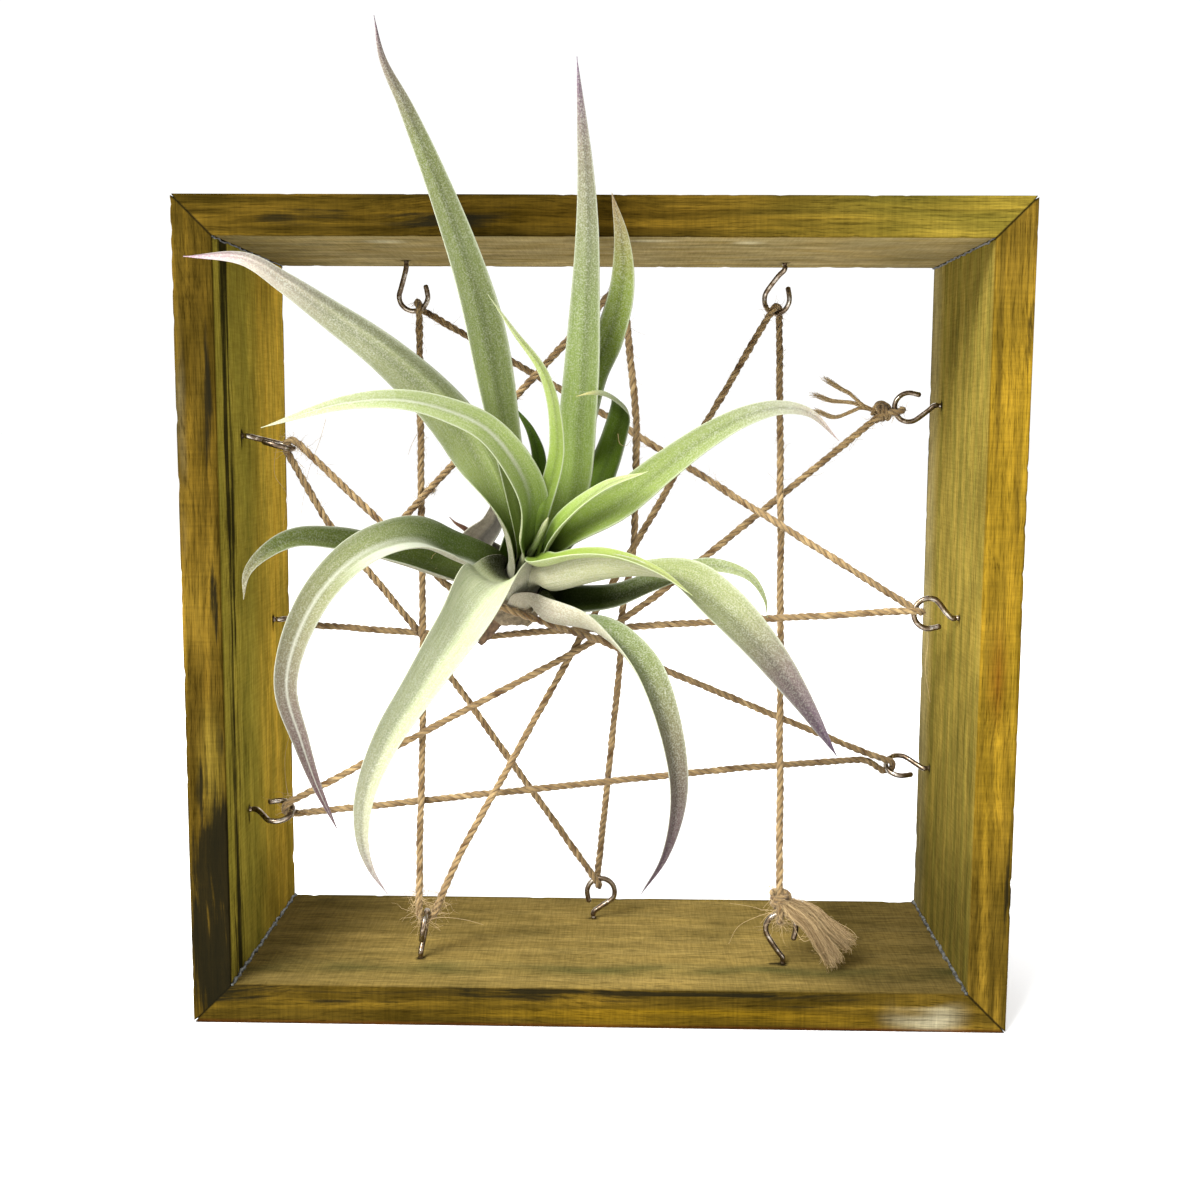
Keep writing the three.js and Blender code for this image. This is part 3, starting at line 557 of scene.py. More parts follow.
def board_colour(name, s, d, h, end_gap, ragged, streak):
    """The stain at each point, with painted light and shade on the inner faces and a painted shadow at the
    bottom board's foot: s along the board, d its depth, h its height above the outer face.
    """
    front = smooth((-d - HALF_DEPTH + 1.2) / 0.8)
    inner = smooth((h - BOARD + 0.8) / 0.6) * (1 - front)
    col = np.tile(OLIVE, (len(s), 1))
    black = np.zeros(len(s))

    def lay(colour, amount):
        nonlocal col, black
        amount = np.clip(amount, 0, 1)
        if colour is BLACK:
            black = np.maximum(black, amount)
        else:
            col = blend(col, colour, amount[:, None])

    def uneven(plain, by_streak=0, by_ragged=0):
        return plain + by_streak * streak + by_ragged * ragged

    def patch(colour, at, reach, *strength, share=1):
        """A patch on the front edge."""
        lay(colour, front * blob(s, h, at, reach) * uneven(*strength) * share)

    def stripe(colour, depth, width, *strength, share=1):
        """A stripe along the inner face."""
        lay(colour, inner * np.exp(-(((d - depth) / width) ** 2)) * uneven(*strength) * share)

    lay(DEEP, uneven(0.35, 0, 0.9))
    lay(GOLD, uneven(0.12, 1.3) * front)
    if name == "left":
        lay(GREENISH, inner * 0.7)
        stripe(BLACK, -32, 6.5, 0.85, 0.8)
        stripe(BLACK, -18, 2.0, 0.25, 0.8, share=smooth((s + 20) / 60))
        lay(GOLD, inner * smooth((d + 12) / 30) * uneven(0.45, 0.5))
        for at, reach, dark in (
            ((-92, 8.5), (60, 13), 1.9), ((-52, 5), (26, 6), 1.0), ((66, 8.5), (40, 4.5), 0.85),
            ((100, 4), (22, 4), 0.45), ((8, 10.5), (34, 3), 0.8), ((-36, 10), (20, 3), 0.7),
        ):
            patch(BLACK, at, reach, dark, 1.4, 0.9)
        patch(linear((176, 150, 62)), (-44, 8), (26, 6), 0.9, 1)
        patch(GREYED, (58, 1.5), (46, 2.2), 0.35, 0, 0.8)
    elif name == "right":
        lay(linear((150, 134, 66)), inner * 0.55)
        waves = np.clip(np.sin(d * 0.62 + 0.5 * ragged) * 1.3 + streak * 2.0, 0, 1)
        lay(linear((106, 100, 44)), inner * waves * 0.55)
        stripe(BLACK, -29, 0.8, 0.45)
        stripe(BLACK, 6, 1.4, 0.3, 0.7)
        lay(GREYED, inner * smooth((d - 22) / 20) * 0.6)
        lay(linear((172, 138, 40)), front * smooth((110 - np.abs(s - 10)) / 60) * uneven(0.55, 1))
        patch(linear((134, 84, 26)), (-14, 7), (22, 4), 0.6, 1.2)
        patch(BLACK, (-70, 2), (60, 4), 0.5, 1.2, 0.6)
        patch(BLACK, (92, 1), (30, 4), 0.35, 1.2)
    elif name == "top":
        lay(linear((148, 134, 98)), inner * uneven(0.75, 0, 0.4))
        lay(linear((96, 84, 48)), inner * smooth((-100 - s) / 30 + 0.6) * 0.6)
        spots = (((-66, -30), (9, 7)), ((44, -30), (7, 6)), ((14, -34), (12, 5)))
        lay(WHITED, inner * sum(blob(s, d, at, reach) for at, reach in spots) * 0.7)
        for at, reach, dark in (
            ((-88, 7), (24, 5), 0.85), ((-50, 8), (36, 5), 0.7), ((-12, 10), (16, 4), 0.6),
            ((-30, 4), (12, 3), 0.6),
        ):
            patch(BLACK, at, reach, dark, 1.3, 0.9, share=0.8)
        patch(linear((110, 84, 22)), (-10, 6), (60, 8), 0.5)
        lay(GREENISH, front * smooth((s - 20) / 70) * 0.55)
    else:
        lay(linear((126, 108, 62)), inner * 0.85)
        lay(linear((146, 126, 76)), inner * (0.3 * np.clip(np.sin(d * 0.5 + 0.8) + 1.5 * streak, 0, 1)))
        stripe(linear((84, 80, 44)), -27, 5, 0.5, 0, 1)
        stripe(BLACK, 12, 1.6, 0.25, 1.0, share=0.7)
        lay(BLACK, front * smooth((h - 5 + 3 * ragged) / 5) * uneven(0.6, 1) * smooth((105 - s) / 25))
        patch(linear((158, 124, 28)), (25, 4), (105, 5), 0.55, 1.2)
        patch(WHITED, (102, 5), (17, 9), 0.5, 1.0, 1.6)
        # Painted shadow: a thin dark reddish line along the foot of the front face, where the board meets the
        # floor
        lay(linear((96, 44, 22)), smooth((0.9 - h) / 0.5) * front * 0.8)
    for hook in HOOKS.values():
        if hook.side == name:
            near = np.sqrt((s - hook.along) ** 2 + (d - hook.depth) ** 2)
            lay(BLACK, inner * smooth((3.0 - near) / 1.6) * 0.85)
            lay(BLACK, inner * blob(s, d, (hook.along - 2.5, hook.depth + 0.2), (5.0, 0.9)) * 1.2)
    # Painted light on the inner faces, for the key light that they miss
    col = col * (1 + (INNER_PAINTED_LIGHT[name] - 1) * inner)[:, None]
    front_tone = np.interp(s, *FRONT_TONE[name])
    # Painted shade along the inner faces; the top one's is a little darker over its left half
    inner_shading = 0.9 + 0.1 * smooth(s / 60) if name == "top" else np.interp(s, *INNER_SHADING[name])
    col = col * (1 + (front_tone - 1) * front + (inner_shading - 1) * inner)[:, None]
    lay(linear((104, 86, 30)), smooth((d - HALF_DEPTH + 1.2) / 0.8) * 0.8)
    lay(linear((40, 34, 16)), smooth((end_gap - 0.55) / -0.4))
    return np.concatenate([col, black[:, None]], axis=1)


def board_piece(name, material, seed):
    along, inward = SIDES[name]
    # The outline of the board's section: depth, height above the outer face and the step from there on
    e, hd, rim = EASED, HALF_DEPTH, 0.29 * EASED
    corners = [
        (-hd, e, 1.0), (-hd, BOARD - e, 0.3), (-hd + rim, BOARD - rim, 0.3), (-hd + e, BOARD, 1.9),
        (hd - e, BOARD, 0.6), (hd, BOARD - e, 1.9), (hd, e, 0.6), (hd - e, 0, 3.0), (-hd + e, 0, 0.3),
        (-hd + rim, rim, 0.3),
    ]
    outline = []
    for (d0, h0, step), (d1, h1, _) in zip(corners, corners[1:] + corners[:1]):
        n = max(int(round(math.dist((d0, h0), (d1, h1)) / step)), 1)
        outline += [(mix(d0, d1, i / n), mix(h0, h1, i / n)) for i in range(n)]
    outline = np.array(outline)
    s_unit = np.concatenate([[-1, -0.9975, -0.9945], np.linspace(-1, 1, 201)[1:-1], [0.9945, 0.9975, 1]])
    stations, around = len(s_unit), len(outline)
    worn = np.where(outline[:, 1] < CORNER_CUT, CORNER_CUT - outline[:, 1], 0)
    half = HALF - outline[:, 1] - MITRE_GAP - worn * 0.25
    s = (s_unit[:, None] * half).ravel()
    d, h = np.tile(outline[:, 0], stations), np.tile(outline[:, 1], stations)
    pts = on_side(name, s[:, None], d[:, None], h[:, None])
    local = np.stack([s, d, h], axis=1)
    streak = noise_at(local * [0.03, 1, 1], 0.55, seed) * 0.9
    ragged = noise_at(local * [0.35, 1, 1], 0.16, seed + 5)
    colour = board_colour(name, s, d, h, np.tile(half, stations) - np.abs(s), ragged, streak)
    # Small waves on the faces and dings along the eased edges, but not on the face that it stands on
    from_middle = h - BOARD / 2
    at_side = np.exp(-(((np.abs(d) - hd) / 1.4) ** 2))
    at_edge = at_side * np.exp(-(((np.abs(from_middle) - BOARD / 2) / 1.4) ** 2))
    ding = noise_at(local, 0.22, seed + 9)
    wave = noise_at(local * [0.25, 1, 1], 0.12, seed + 12) * 0.10
    push = wave * 0.6 + at_edge * np.clip(ding - 0.25, 0, 1) * 0.8
    push = np.clip(push, -0.02, 0.6) * smooth((1 - np.abs(np.repeat(s_unit, around))) * 60)
    if name == "bottom":
        push[h < 0.6] = 0
    push_d = -np.sign(d) * (np.abs(d) > hd - 0.6) * push
    push_h = -np.sign(from_middle) * (np.abs(from_middle) > BOARD / 2 - 0.6) * push
    pts = pts + DEPTHWAYS * push_d[:, None] + inward * push_h[:, None]
    builder = Builder()
    flipped = np.dot(np.cross(along, DEPTHWAYS), inward) < 0
    builder.add(pts, stations, colour, np.stack([s / 50, (d + h) / 50], axis=1), flipped)
    builder.piece(f"wood_{name}", material, "stained_wood", [f"board_{name}"], 40)


wood_level = wood_material("stained_wood_level", "x")
wood_upright = wood_material("stained_wood_upright", "z")
wood_bottom = wood_material("stained_wood_bottom", "x", 0.25, 0.4, 0.5)
board_piece("top", wood_level, 1)
board_piece("bottom", wood_bottom, 2)
board_piece("left", wood_upright, 3)
board_piece("right", wood_upright, 4)

# Brads keep their CAD shape
brad_look = brad_material()
for node_name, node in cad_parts.items():
    if node_name.startswith("brad_"):
        node.data.materials.clear()
        node.data.materials.append(brad_look)


def corner_beads():
    """Ragged filler and dark gaps in the inside corners, glue at the upper right."""
    builder = Builder()
    inside = HALF - BOARD
    count, sides = 150, 7
    # The corner's sides, how wide the bead is, how much of it is pale, its pale colour and a seed
    for sx, sz, wide, white, pale, seed in (
        (-1, -1, 1.5, 0.55, linear((122, 126, 118)), 1.0),
        (1, -1, 1.4, 0.5, linear((112, 112, 104)), 2.0),
        (1, 1, 0.9, 0.3, linear((128, 122, 100)), 3.0),
        (-1, 1, 0.7, 0.15, linear((70, 64, 40)), 4.0),
    ):
        depth = np.linspace(-HALF_DEPTH + 0.4, HALF_DEPTH - 0.8, count)
        line = np.stack([np.full(count, sx * inside), depth, np.full(count, HALF + sz * inside)], axis=1)
        size = 0.55 + 0.45 * noise_at(line, 0.35, seed) + 0.35 * noise_at(line, 1.1, seed + 1)
        size = np.clip(size, 0.12, 1.2) * wide * 1.5
        drift = noise_at(line, 0.25, seed + 2) * 0.5
        line = line + np.array([-sx, 0, 0]) * (0.2 + drift)[:, None]
        line = line + np.array([0, 0, -sz]) * (0.2 - drift)[:, None]
        pts = swept(line, size * 0.5, sides)
        lump = noise_at(pts, 1.3, seed + 3) * 0.22
        pts = pts + (pts - np.repeat(line, sides, axis=0)) * lump[:, None]
        tone = noise_at(pts, 0.8, seed + 4) + 0.6 * noise_at(pts, 2.0, seed + 6)
        amount = smooth((tone + white - 0.35) / 0.35)[:, None]
        builder.add(pts, count, blend(linear((26, 24, 16)), pale, amount))
    look = rough_material("mitre_filler", 0.55, 900, 0.6, 0.5, 1.2, 0.5, 0.3)
    builder.piece("mitre_filler", look, "stained_wood")


corner_beads()


# Hooks
def hook_frame(hook):
    along, inward = SIDES[hook.side]
    foot = on_side(hook.side, hook.along, hook.depth, BOARD)
    swing = math.radians(hook.swing)
    opening = along * math.cos(swing) + DEPTHWAYS * math.sin(swing)
    flat = np.cross(inward, opening)

    def place(sideways, out):
        lean = hook.lean * max(out - 1.5, 0) / (hook.reach + HOOK_BEND)
        return foot + opening * sideways + inward * out + flat * lean

    def on_bend(angle):
        return place(hook.offset + HOOK_BEND * math.cos(angle), hook.reach + HOOK_BEND * math.sin(angle))

    return place, on_bend, opening, flat, inward


def hook_piece(name, hook, material):
    place, on_bend, *_ = hook_frame(hook)
    steps, sides = 12, 14
    points = [place(0, out) for out in (-SCREW_DEPTH, -SCREW_DEPTH / 2, 0.2, 2.2)]
    points.append(place((hook.offset - HOOK_BEND * 0.72) * 0.35, 4.1))
    points += [on_bend(math.radians(206 - 220 * step / steps)) for step in range(steps + 1)]
    points.append(place(hook.offset + HOOK_BEND * 0.84, hook.reach - HOOK_BEND * 0.8))
    line, length = respace(catmull(points, 12), 0.45)
    along = np.linspace(0, length, len(line))
    # The screw's thread runs out just above the wood
    thread = WIRE_RADIUS * (0.9 + 0.16 * np.cos(along * TURN / THREAD_PITCH))
    radius = np.where(along < SCREW_DEPTH + 1.4, thread, WIRE_RADIUS)
    end = np.clip((length - along) / 0.5, 0, 1)
    pts = swept(line, radius * np.sqrt(np.clip(1 - (1 - end) ** 2, 0.35, 1)), sides)
    pts = pts + (noise_at(pts, 0.9, 3)[:, None] * 0.025)
    builder = Builder()
    builder.add(pts, len(line), (0.3, 0.25, 0.2))
    builder.piece(f"screw_hook_{name}", material, "hook_wire", [f"hook_{name}"], 50)


bronze = metal_material()
for hook_name, hook_row in HOOKS.items():
    hook_piece(hook_name, hook_row, bronze)


# Leaves
rosette_right = unit(np.cross([0, 0, 1.0], ROSETTE_AXIS))
rosette_up = -unit(np.cross(rosette_right, ROSETTE_AXIS))


def on_axis(height):
    return ROSETTE_FOOT + ROSETTE_AXIS * height


# Each row: name, layer, turn, bends, wrap, half width, fold, twist, taper, crease (0 round to 1
# sharp), and the places that its middle passes.
LEAVES = [
    ("centre", 0, 60, 30, 34, 3.6, 50, 0, 2, 0.8,
     [(-17, -36, 164), (-13, -44, 181), (-16, -51, 201), (-25, -56, 214), (-32, -60, 224)]),
    ("left_arching", 0, 174, 31, 38, 6.6, 60, -45, 2, 0.8,
     [(-21, -39, 164), (-25, -49, 176), (-33, -56, 186), (-43, -61, 191), (-56, -66, 194), (-72, -68, 193),
      (-96, -67, 186)]),
    ("right_inner", 0, 284, 30, 38, 6.2, 50, 0, 2, 0.7,
     [(-17, -40, 146), (-6, -48, 149), (6, -55, 149), (18, -62, 145), (27, -67, 139)]),
    ("right_short", 1, 346, 27, 38, 5.4, 60, 0, 2, 0.6,
     [(-12, -40, 158), (1, -50, 169), (14, -60, 174)]),
    ("upper_left", 1, 112, 26, 55, 9, 45, 0, 2, 0.7,
     [(-27, -33, 168), (-29, -41, 183), (-35, -54, 220), (-44, -61, 249), (-54, -65, 274), (-60, -68, 287),
      (-62, -69, 298)]),
    ("right_rising", 2, 10, 24, 46, 7.4, 50, 25, 2, 0.5,
     [(-8, -36, 156), (7, -44, 165), (19, -50, 175), (31, -54, 184), (42, -56, 190), (52, -55, 192.5),
      (61, -53, 191), (70, -50, 183)]),
    ("left_pink", 2, 142, 23, 78, 9.6, 50, -25, 2, 0.6,
     [(-31, -28, 161), (-38, -32, 177), (-48, -40, 192), (-63, -50, 207), (-79, -57, 219), (-90, -62, 227),
      (-100, -65, 233), (-118, -63, 234)]),
    ("upper_middle", 3, 52, 21, 42, 7.6, 40, 0, 2, 0.4,
     [(-10, -28, 164), (-7, -35, 189), (-5, -43, 215), (-4, -52, 249), (-7, -57, 290)]),
    ("front_hanging", 3, 215, 20, 75, 10.5, 55, 0, 1.4, 0.3,
     [(-33, -43, 141), (-42, -60, 127), (-52, -70, 111), (-60, -75, 98), (-66, -78, 82), (-67, -77, 69),
      (-65, -74, 59), (-61, -71, 51)]),
    ("right_purple", 3, 312, 19, 40, 11.5, 50, 20, 2.4, 0.5,
     [(-13, -34, 140), (6, -46, 145), (23, -54, 144), (36, -60, 135), (48, -65, 123), (58, -68, 110),
      (69, -70, 93)]),
    ("curled", 4, 22, 17, 36, 7.4, 40, 0, 2, 0.3,
     [(-4, -17, 163), (0, -14, 172), (3, -14, 180), (6, -18, 191), (5, -29, 194), (1, -41, 196.5),
      (-3, -48, 196.5), (-7, -51, 195.5)]),
    ("left_hanging", 4, 168, 16, 45, 7.8, 60, 0, 2, 0.5,
     [(-44, -26, 147), (-55, -36, 153), (-65, -44, 152), (-74, -51, 147), (-83, -56, 137), (-90, -59, 122),
      (-92, -60, 109), (-88, -60, 94), (-84, -58, 80), (-78, -56, 65)]),
    ("lower_hanging", 4, 278, 15, 42, 7.4, 55, 0, 2.7, 0.5,
     [(-16, -30, 129), (0, -43, 127), (13.5, -54, 116), (21.5, -60, 95), (23.5, -60, 77), (20, -57, 59),
      (13, -54, 46)]),
    ("back", 5, 108, 14, 27, 5, 40, 0, 2, 0.5,
     [(-23, -15, 166), (-20, -21, 175), (-22, -28, 185), (-27, -33, 193)]),
    ("left_low", 5, 165, 12, 29, 8, 60, 0, 2, 0.5,
     [(-47, -14, 140), (-64, -22, 146), (-81, -31, 151), (-94, -37, 152), (-102, -41, 148), (-107, -44, 142),
      (-108, -45, 134)]),
    ("right_back", 5, 335, 12, 36, 5.5, 50, 0, 2, 0.5,
     [(-13, -22, 132), (4, -30, 134), (18, -36, 140), (33, -40, 145), (45, -42, 142), (50, -41, 135),
      (51, -40, 129)]),
    ("upper_right", 6, 60, 12, 30, 5.6, 40, 0, 5, 0.4,
     [(-14, -9, 158), (-11, -12, 173), (-8, -18, 185), (-3, -30, 203), (2, -37, 213), (6, -45, 227),
      (6, -50, 240), (3, -55, 253)]),
    ("dry_sheath", 6, 124, 9, 20, 7, 60, 0, 2, 0.3,
     [(-41, -8, 148), (-35, -14, 156), (-33.5, -18, 162), (-36.5, -21, 167)]),
    ("dry_bract", 6, 165, 6, 10, 2.6, 50, 0, 2, 0.3,
     [(-42, -4, 149), (-45, -6, 153), (-48, -7, 155), (-50, -7, 157)]),
]

# Colours from base to tip: the face that looks to the rosette's axis, then the back. Each stop is
# (share of the length, red, green, blue as 0 to 255, silver from 0 to 1).
# The darkest greens, at the bases of the faces and on the leaves at the back, are partly the leaves' own green
# and partly painted shade from the leaves around them.
YOUNG_BACK = [
    (0, 196, 206, 160, 0.7), (0.3, 190, 206, 138, 0.6), (0.7, 188, 206, 130, 0.6), (1, 206, 214, 178, 0.7),
]
GREY_BACK = [
    (0, 176, 172, 148, 1), (0.15, 172, 178, 148, 1), (0.6, 158, 166, 138, 1), (0.85, 150, 138, 138, 0.9),
    (1, 128, 100, 128, 0.8),
]
TINTS = {
    "centre": (
        [(0, 110, 150, 48, 0.1), (0.45, 160, 190, 84, 0.2), (0.8, 178, 196, 120, 0.4), (1, 196, 206, 160, 0.5)],
        YOUNG_BACK,
    ),
    "left_arching": (
        [(0, 90, 112, 30, 0), (0.2, 124, 154, 60, 0.15), (0.42, 156, 178, 100, 0.4), (0.7, 168, 184, 128, 0.6),
         (1, 200, 206, 172, 0.7)],
        [(0, 200, 208, 166, 0.8), (0.4, 196, 210, 148, 0.6), (1, 208, 216, 180, 0.7)],
    ),
    "right_inner": ([(0, 120, 158, 44, 0), (0.5, 158, 184, 78, 0.2), (1, 190, 202, 130, 0.5)], YOUNG_BACK),
    "right_short": ([(0, 104, 144, 40, 0), (0.5, 150, 182, 74, 0.2), (1, 196, 208, 150, 0.5)], YOUNG_BACK),
    "upper_left": (
        [(0, 90, 120, 30, 0), (0.1, 130, 160, 62, 0.1), (0.28, 158, 180, 100, 0.3), (0.5, 150, 168, 100, 0.6),
         (0.8, 150, 162, 104, 0.7), (0.93, 160, 146, 138, 0.7), (1, 126, 100, 128, 0.6)],
        GREY_BACK,
    ),
    "right_rising": (
        [(0, 110, 146, 44, 0), (0.25, 134, 164, 58, 0.15), (0.5, 152, 174, 92, 0.4), (0.72, 156, 172, 112, 0.6),
         (0.86, 184, 188, 166, 0.7), (1, 196, 170, 172, 0.7)],
        [(0, 186, 198, 132, 0.7), (0.6, 184, 200, 130, 0.6), (1, 208, 196, 192, 0.7)],
    ),
    "left_pink": (
        [(0, 96, 122, 40, 0), (0.16, 132, 160, 68, 0.15), (0.3, 172, 192, 118, 0.45), (0.5, 166, 178, 126, 0.7),
         (0.7, 168, 172, 140, 0.85), (0.86, 202, 192, 182, 0.9), (1, 196, 160, 190, 0.7)],
        [(0, 186, 186, 158, 1), (0.5, 176, 184, 150, 1), (0.8, 200, 194, 182, 1), (1, 196, 164, 192, 0.8)],
    ),
    "upper_middle": (
        [(0, 120, 152, 52, 0.1), (0.3, 148, 176, 84, 0.3), (0.6, 140, 158, 98, 0.6), (0.85, 140, 134, 118, 0.6),
         (1, 122, 94, 132, 0.5)],
        GREY_BACK,
    ),
    "front_hanging": (
        [(0, 66, 74, 26, 0), (0.12, 120, 130, 60, 0.2), (0.16, 206, 218, 176, 0.5), (0.3, 206, 218, 178, 0.6),
         (0.6, 188, 198, 160, 0.7), (0.85, 190, 192, 164, 0.8), (1, 176, 154, 170, 0.8)],
        [(0, 190, 188, 164, 1), (0.5, 190, 196, 160, 0.9), (1, 176, 156, 170, 0.8)],
    ),
    "right_purple": (
        [(0, 60, 66, 20, 0), (0.2, 120, 134, 60, 0.3), (0.42, 156, 172, 104, 0.6), (0.64, 156, 164, 118, 0.65),
         (0.8, 124, 112, 108, 0.4), (1, 88, 66, 98, 0.3)],
        [(0, 196, 192, 168, 1), (0.35, 200, 206, 160, 0.8), (0.6, 168, 170, 136, 0.8), (0.8, 128, 110, 118, 0.7),
         (1, 100, 80, 112, 0.5)],
    ),
    "curled": (
        [(0, 60, 80, 14, 0), (0.4, 84, 112, 20, 0.05), (0.75, 100, 128, 36, 0.15), (1, 200, 200, 130, 0.6)],
        [(0, 170, 176, 136, 0.8), (0.6, 150, 172, 112, 0.8), (0.9, 170, 184, 136, 0.8), (1, 204, 198, 120, 0.5)],
    ),
    "left_hanging": (
        [(0, 52, 62, 20, 0), (0.2, 84, 104, 42, 0.2), (0.38, 150, 162, 108, 0.6), (0.58, 138, 138, 106, 0.5),
         (0.76, 118, 104, 98, 0.4), (1, 96, 66, 84, 0.2)],
        [(0, 196, 192, 170, 1), (0.4, 192, 196, 170, 1), (0.75, 180, 178, 162, 1), (1, 124, 98, 124, 0.7)],
    ),
    "lower_hanging": (
        [(0, 80, 84, 40, 0.2), (0.2, 112, 134, 70, 0.7), (0.45, 130, 144, 88, 0.8), (0.62, 128, 124, 96, 0.6),
         (0.8, 116, 98, 100, 0.45), (1, 92, 66, 92, 0.3)],
        [(0, 196, 188, 166, 1), (0.2, 186, 180, 160, 1), (0.5, 188, 188, 156, 1), (0.75, 140, 128, 116, 0.9),
         (1, 104, 80, 104, 0.6)],
    ),
    "back": ([(0, 64, 92, 14, 0), (0.6, 80, 114, 20, 0.05), (1, 96, 128, 36, 0.2)], GREY_BACK),
    "left_low": (
        [(0, 60, 70, 26, 0), (0.4, 76, 92, 32, 0.15), (0.8, 92, 104, 48, 0.3), (1, 150, 140, 116, 0.7)],
        [(0, 186, 180, 156, 1), (0.6, 176, 174, 150, 1), (1, 168, 158, 146, 1)],
    ),
    "right_back": (
        [(0, 34, 44, 10, 0), (0.35, 50, 64, 16, 0.05), (0.6, 132, 148, 88, 0.7), (1, 176, 190, 136, 0.7)],
        [(0, 168, 166, 140, 1), (0.5, 150, 166, 110, 0.9), (1, 176, 190, 140, 0.8)],
    ),
    "upper_right": (
        [(0, 72, 96, 14, 0.05), (0.5, 96, 120, 34, 0.2), (0.8, 122, 140, 60, 0.4), (1, 150, 126, 96, 0.5)],
        [(0, 150, 156, 118, 0.8), (0.6, 130, 148, 84, 0.8), (1, 150, 126, 96, 0.5)],
    ),
    "dry_sheath": (
        [(0, 150, 140, 118, 0.2), (0.5, 200, 196, 180, 0.3), (1, 214, 210, 196, 0.5)],
        [(0, 140, 132, 116, 0.8), (0.5, 190, 186, 172, 1), (1, 190, 184, 168, 0.6)],
    ),
    "dry_bract": ([(0, 96, 58, 34, 0), (1, 130, 86, 54, 0.1)], [(0, 120, 78, 48, 0.1), (1, 150, 104, 66, 0.1)]),
}

# How a blade differs near its base from the plain rule: how far past its sheath it starts to open and
# over how much it does, as shares of its length; extra fold there, extra width there, a roll about its
# own line in degrees, and where along the length that roll starts to die away and over how much
SHAPING = {
    "right_purple": (0, 0.12, 40, 0.88, -58, 0.3, 0.4),
    "lower_hanging": (0, 0.12, 25, 1.2, -45, 0.1, 0.4),
    "left_hanging": (0, 0.16, 10, 1.1, 20, 0.35, 0.5),
    "left_low": (0, 0.2, 10, 1.1, 20, 0.35, 0.5),
    "front_hanging": (0, 0.11, 18, 1.25, 52, 0.14, 0.26),
    "left_pink": (0.07, 0.22, -15, 1.0, -30, 0.35, 0.5),
    "left_arching": (-0.03, 0.12, 0, 1.05, -45, 0.35, 0.5),
    "upper_left": (0, 0.42, 5, 0.85, 0, 0.35, 0.5),
    "right_inner": (0, 0.2, 15, 1.0, 0, 0.35, 0.5),
    "dry_sheath": (-0.1, 0.2, -10, 1.2, -45, 0.9, 0.5),
    "dry_bract": (0, 0.2, 0, 1.2, -40, 0.9, 0.5),
}
PLAIN_SHAPING = (0, 0.32, 0, 1.0, 0, 0.35, 0.5)

# Painted shade: leaves that are darker on one side of a line along them, the half that the key light misses: by
# what share, and where across the line runs
HALF_SHADE = {
    "upper_left": (-0.5, 0.0), "left_pink": (-0.5, 0.45), "upper_middle": (-0.32, 0.0), "centre": (-0.3, 0.0),
    "front_hanging": (-0.16, 0.0), "right_purple": (-0.2, 0.0), "lower_hanging": (-0.2, 0.0),
    "right_rising": (-0.15, 0.0), "dry_sheath": (-0.8, 0.0),
}

LEAF_WARMTH = np.array([1.05, 1.0, 0.92])
MARGIN = linear((238, 242, 220))
ACROSS = 14  # strips across each face of a blade


def leaf_spine(layer, turn, bends, through):
    radius = 2.2 + SHEATH_PITCH * layer
    angle = math.radians(turn)
    outward = rosette_right * math.cos(angle) + rosette_up * math.sin(angle)
    foot = (HEAD_RADIUS - radius + SHEATH_THICKNESS / 2) / HEAD_SLOPE + 0.7
    points = [
        on_axis(mix(foot, bends, part)) + outward * radius * (1 + 0.12 * part * part) for part in (0, 0.5, 1)
    ]
    return radius, outward, foot, catmull(points + list(through), 40)


def stops_at(stops, u):
    places = [s[0] for s in stops]
    colours = np.array([np.append(linear(s[1:4]) * LEAF_WARMTH, s[4]) for s in stops])
    return np.stack([np.interp(u, places, colours[:, k]) for k in range(4)], axis=-1)


def leaf_colours(name, u, side, opening, across):
    """The face's and the back's colours: a row for each ring, a column for each place across."""
    face, back = (np.repeat(stops_at(stops, u[:, 0])[:, None], len(side), axis=1) for stops in TINTS[name])
    shade_share, shade_line = HALF_SHADE.get(name, (0, 0))
    # Painted shade: one half of some blades is darker, and so is the crease of each fold
    half_shade = shade_share * smooth((side - shade_line) * 5 + 0.5) * smooth(u / 0.15)
    crease_shade = np.exp(-((side / 0.25) ** 2)) * 0.3 * opening
    face[..., :3] *= ((1 - crease_shade) * (1 + half_shade))[..., None]
    face[..., 3] *= 1 + half_shade

    def lighten(colours, share):
        colours[..., :3] = blend(colours[..., :3], MARGIN, share[..., None])

    if name == "left_hanging":
        # Its near half catches the light where it leaves the rosette
        near = smooth(side * np.where(across[:, 2:] > 0, -1, 1) * 4 - 0.4)
        lighten(face, near * (1 - smooth((u - 0.34) / 0.16)) * smooth((u - 0.1) / 0.06) * 0.85)
    if name == "front_hanging":
        # The hollow at its base, in the shade of the leaves inside it
        hollow = smooth(side * 3 + 0.8) * (1 - smooth((u - 0.115) / 0.04))
        face[..., :3] *= (1 - 0.85 * hollow)[..., None]
    pale = smooth((np.abs(side) - 0.84) / 0.14) * (0.45 - 0.2 * smooth((u - 0.75) / 0.25))
    pale = pale * smooth((u - 0.08) / 0.3)
    lighten(face, pale)
    lighten(back, pale * 0.7)
    return np.concatenate([face, back[:, ::-1]], axis=1).reshape(-1, 4)


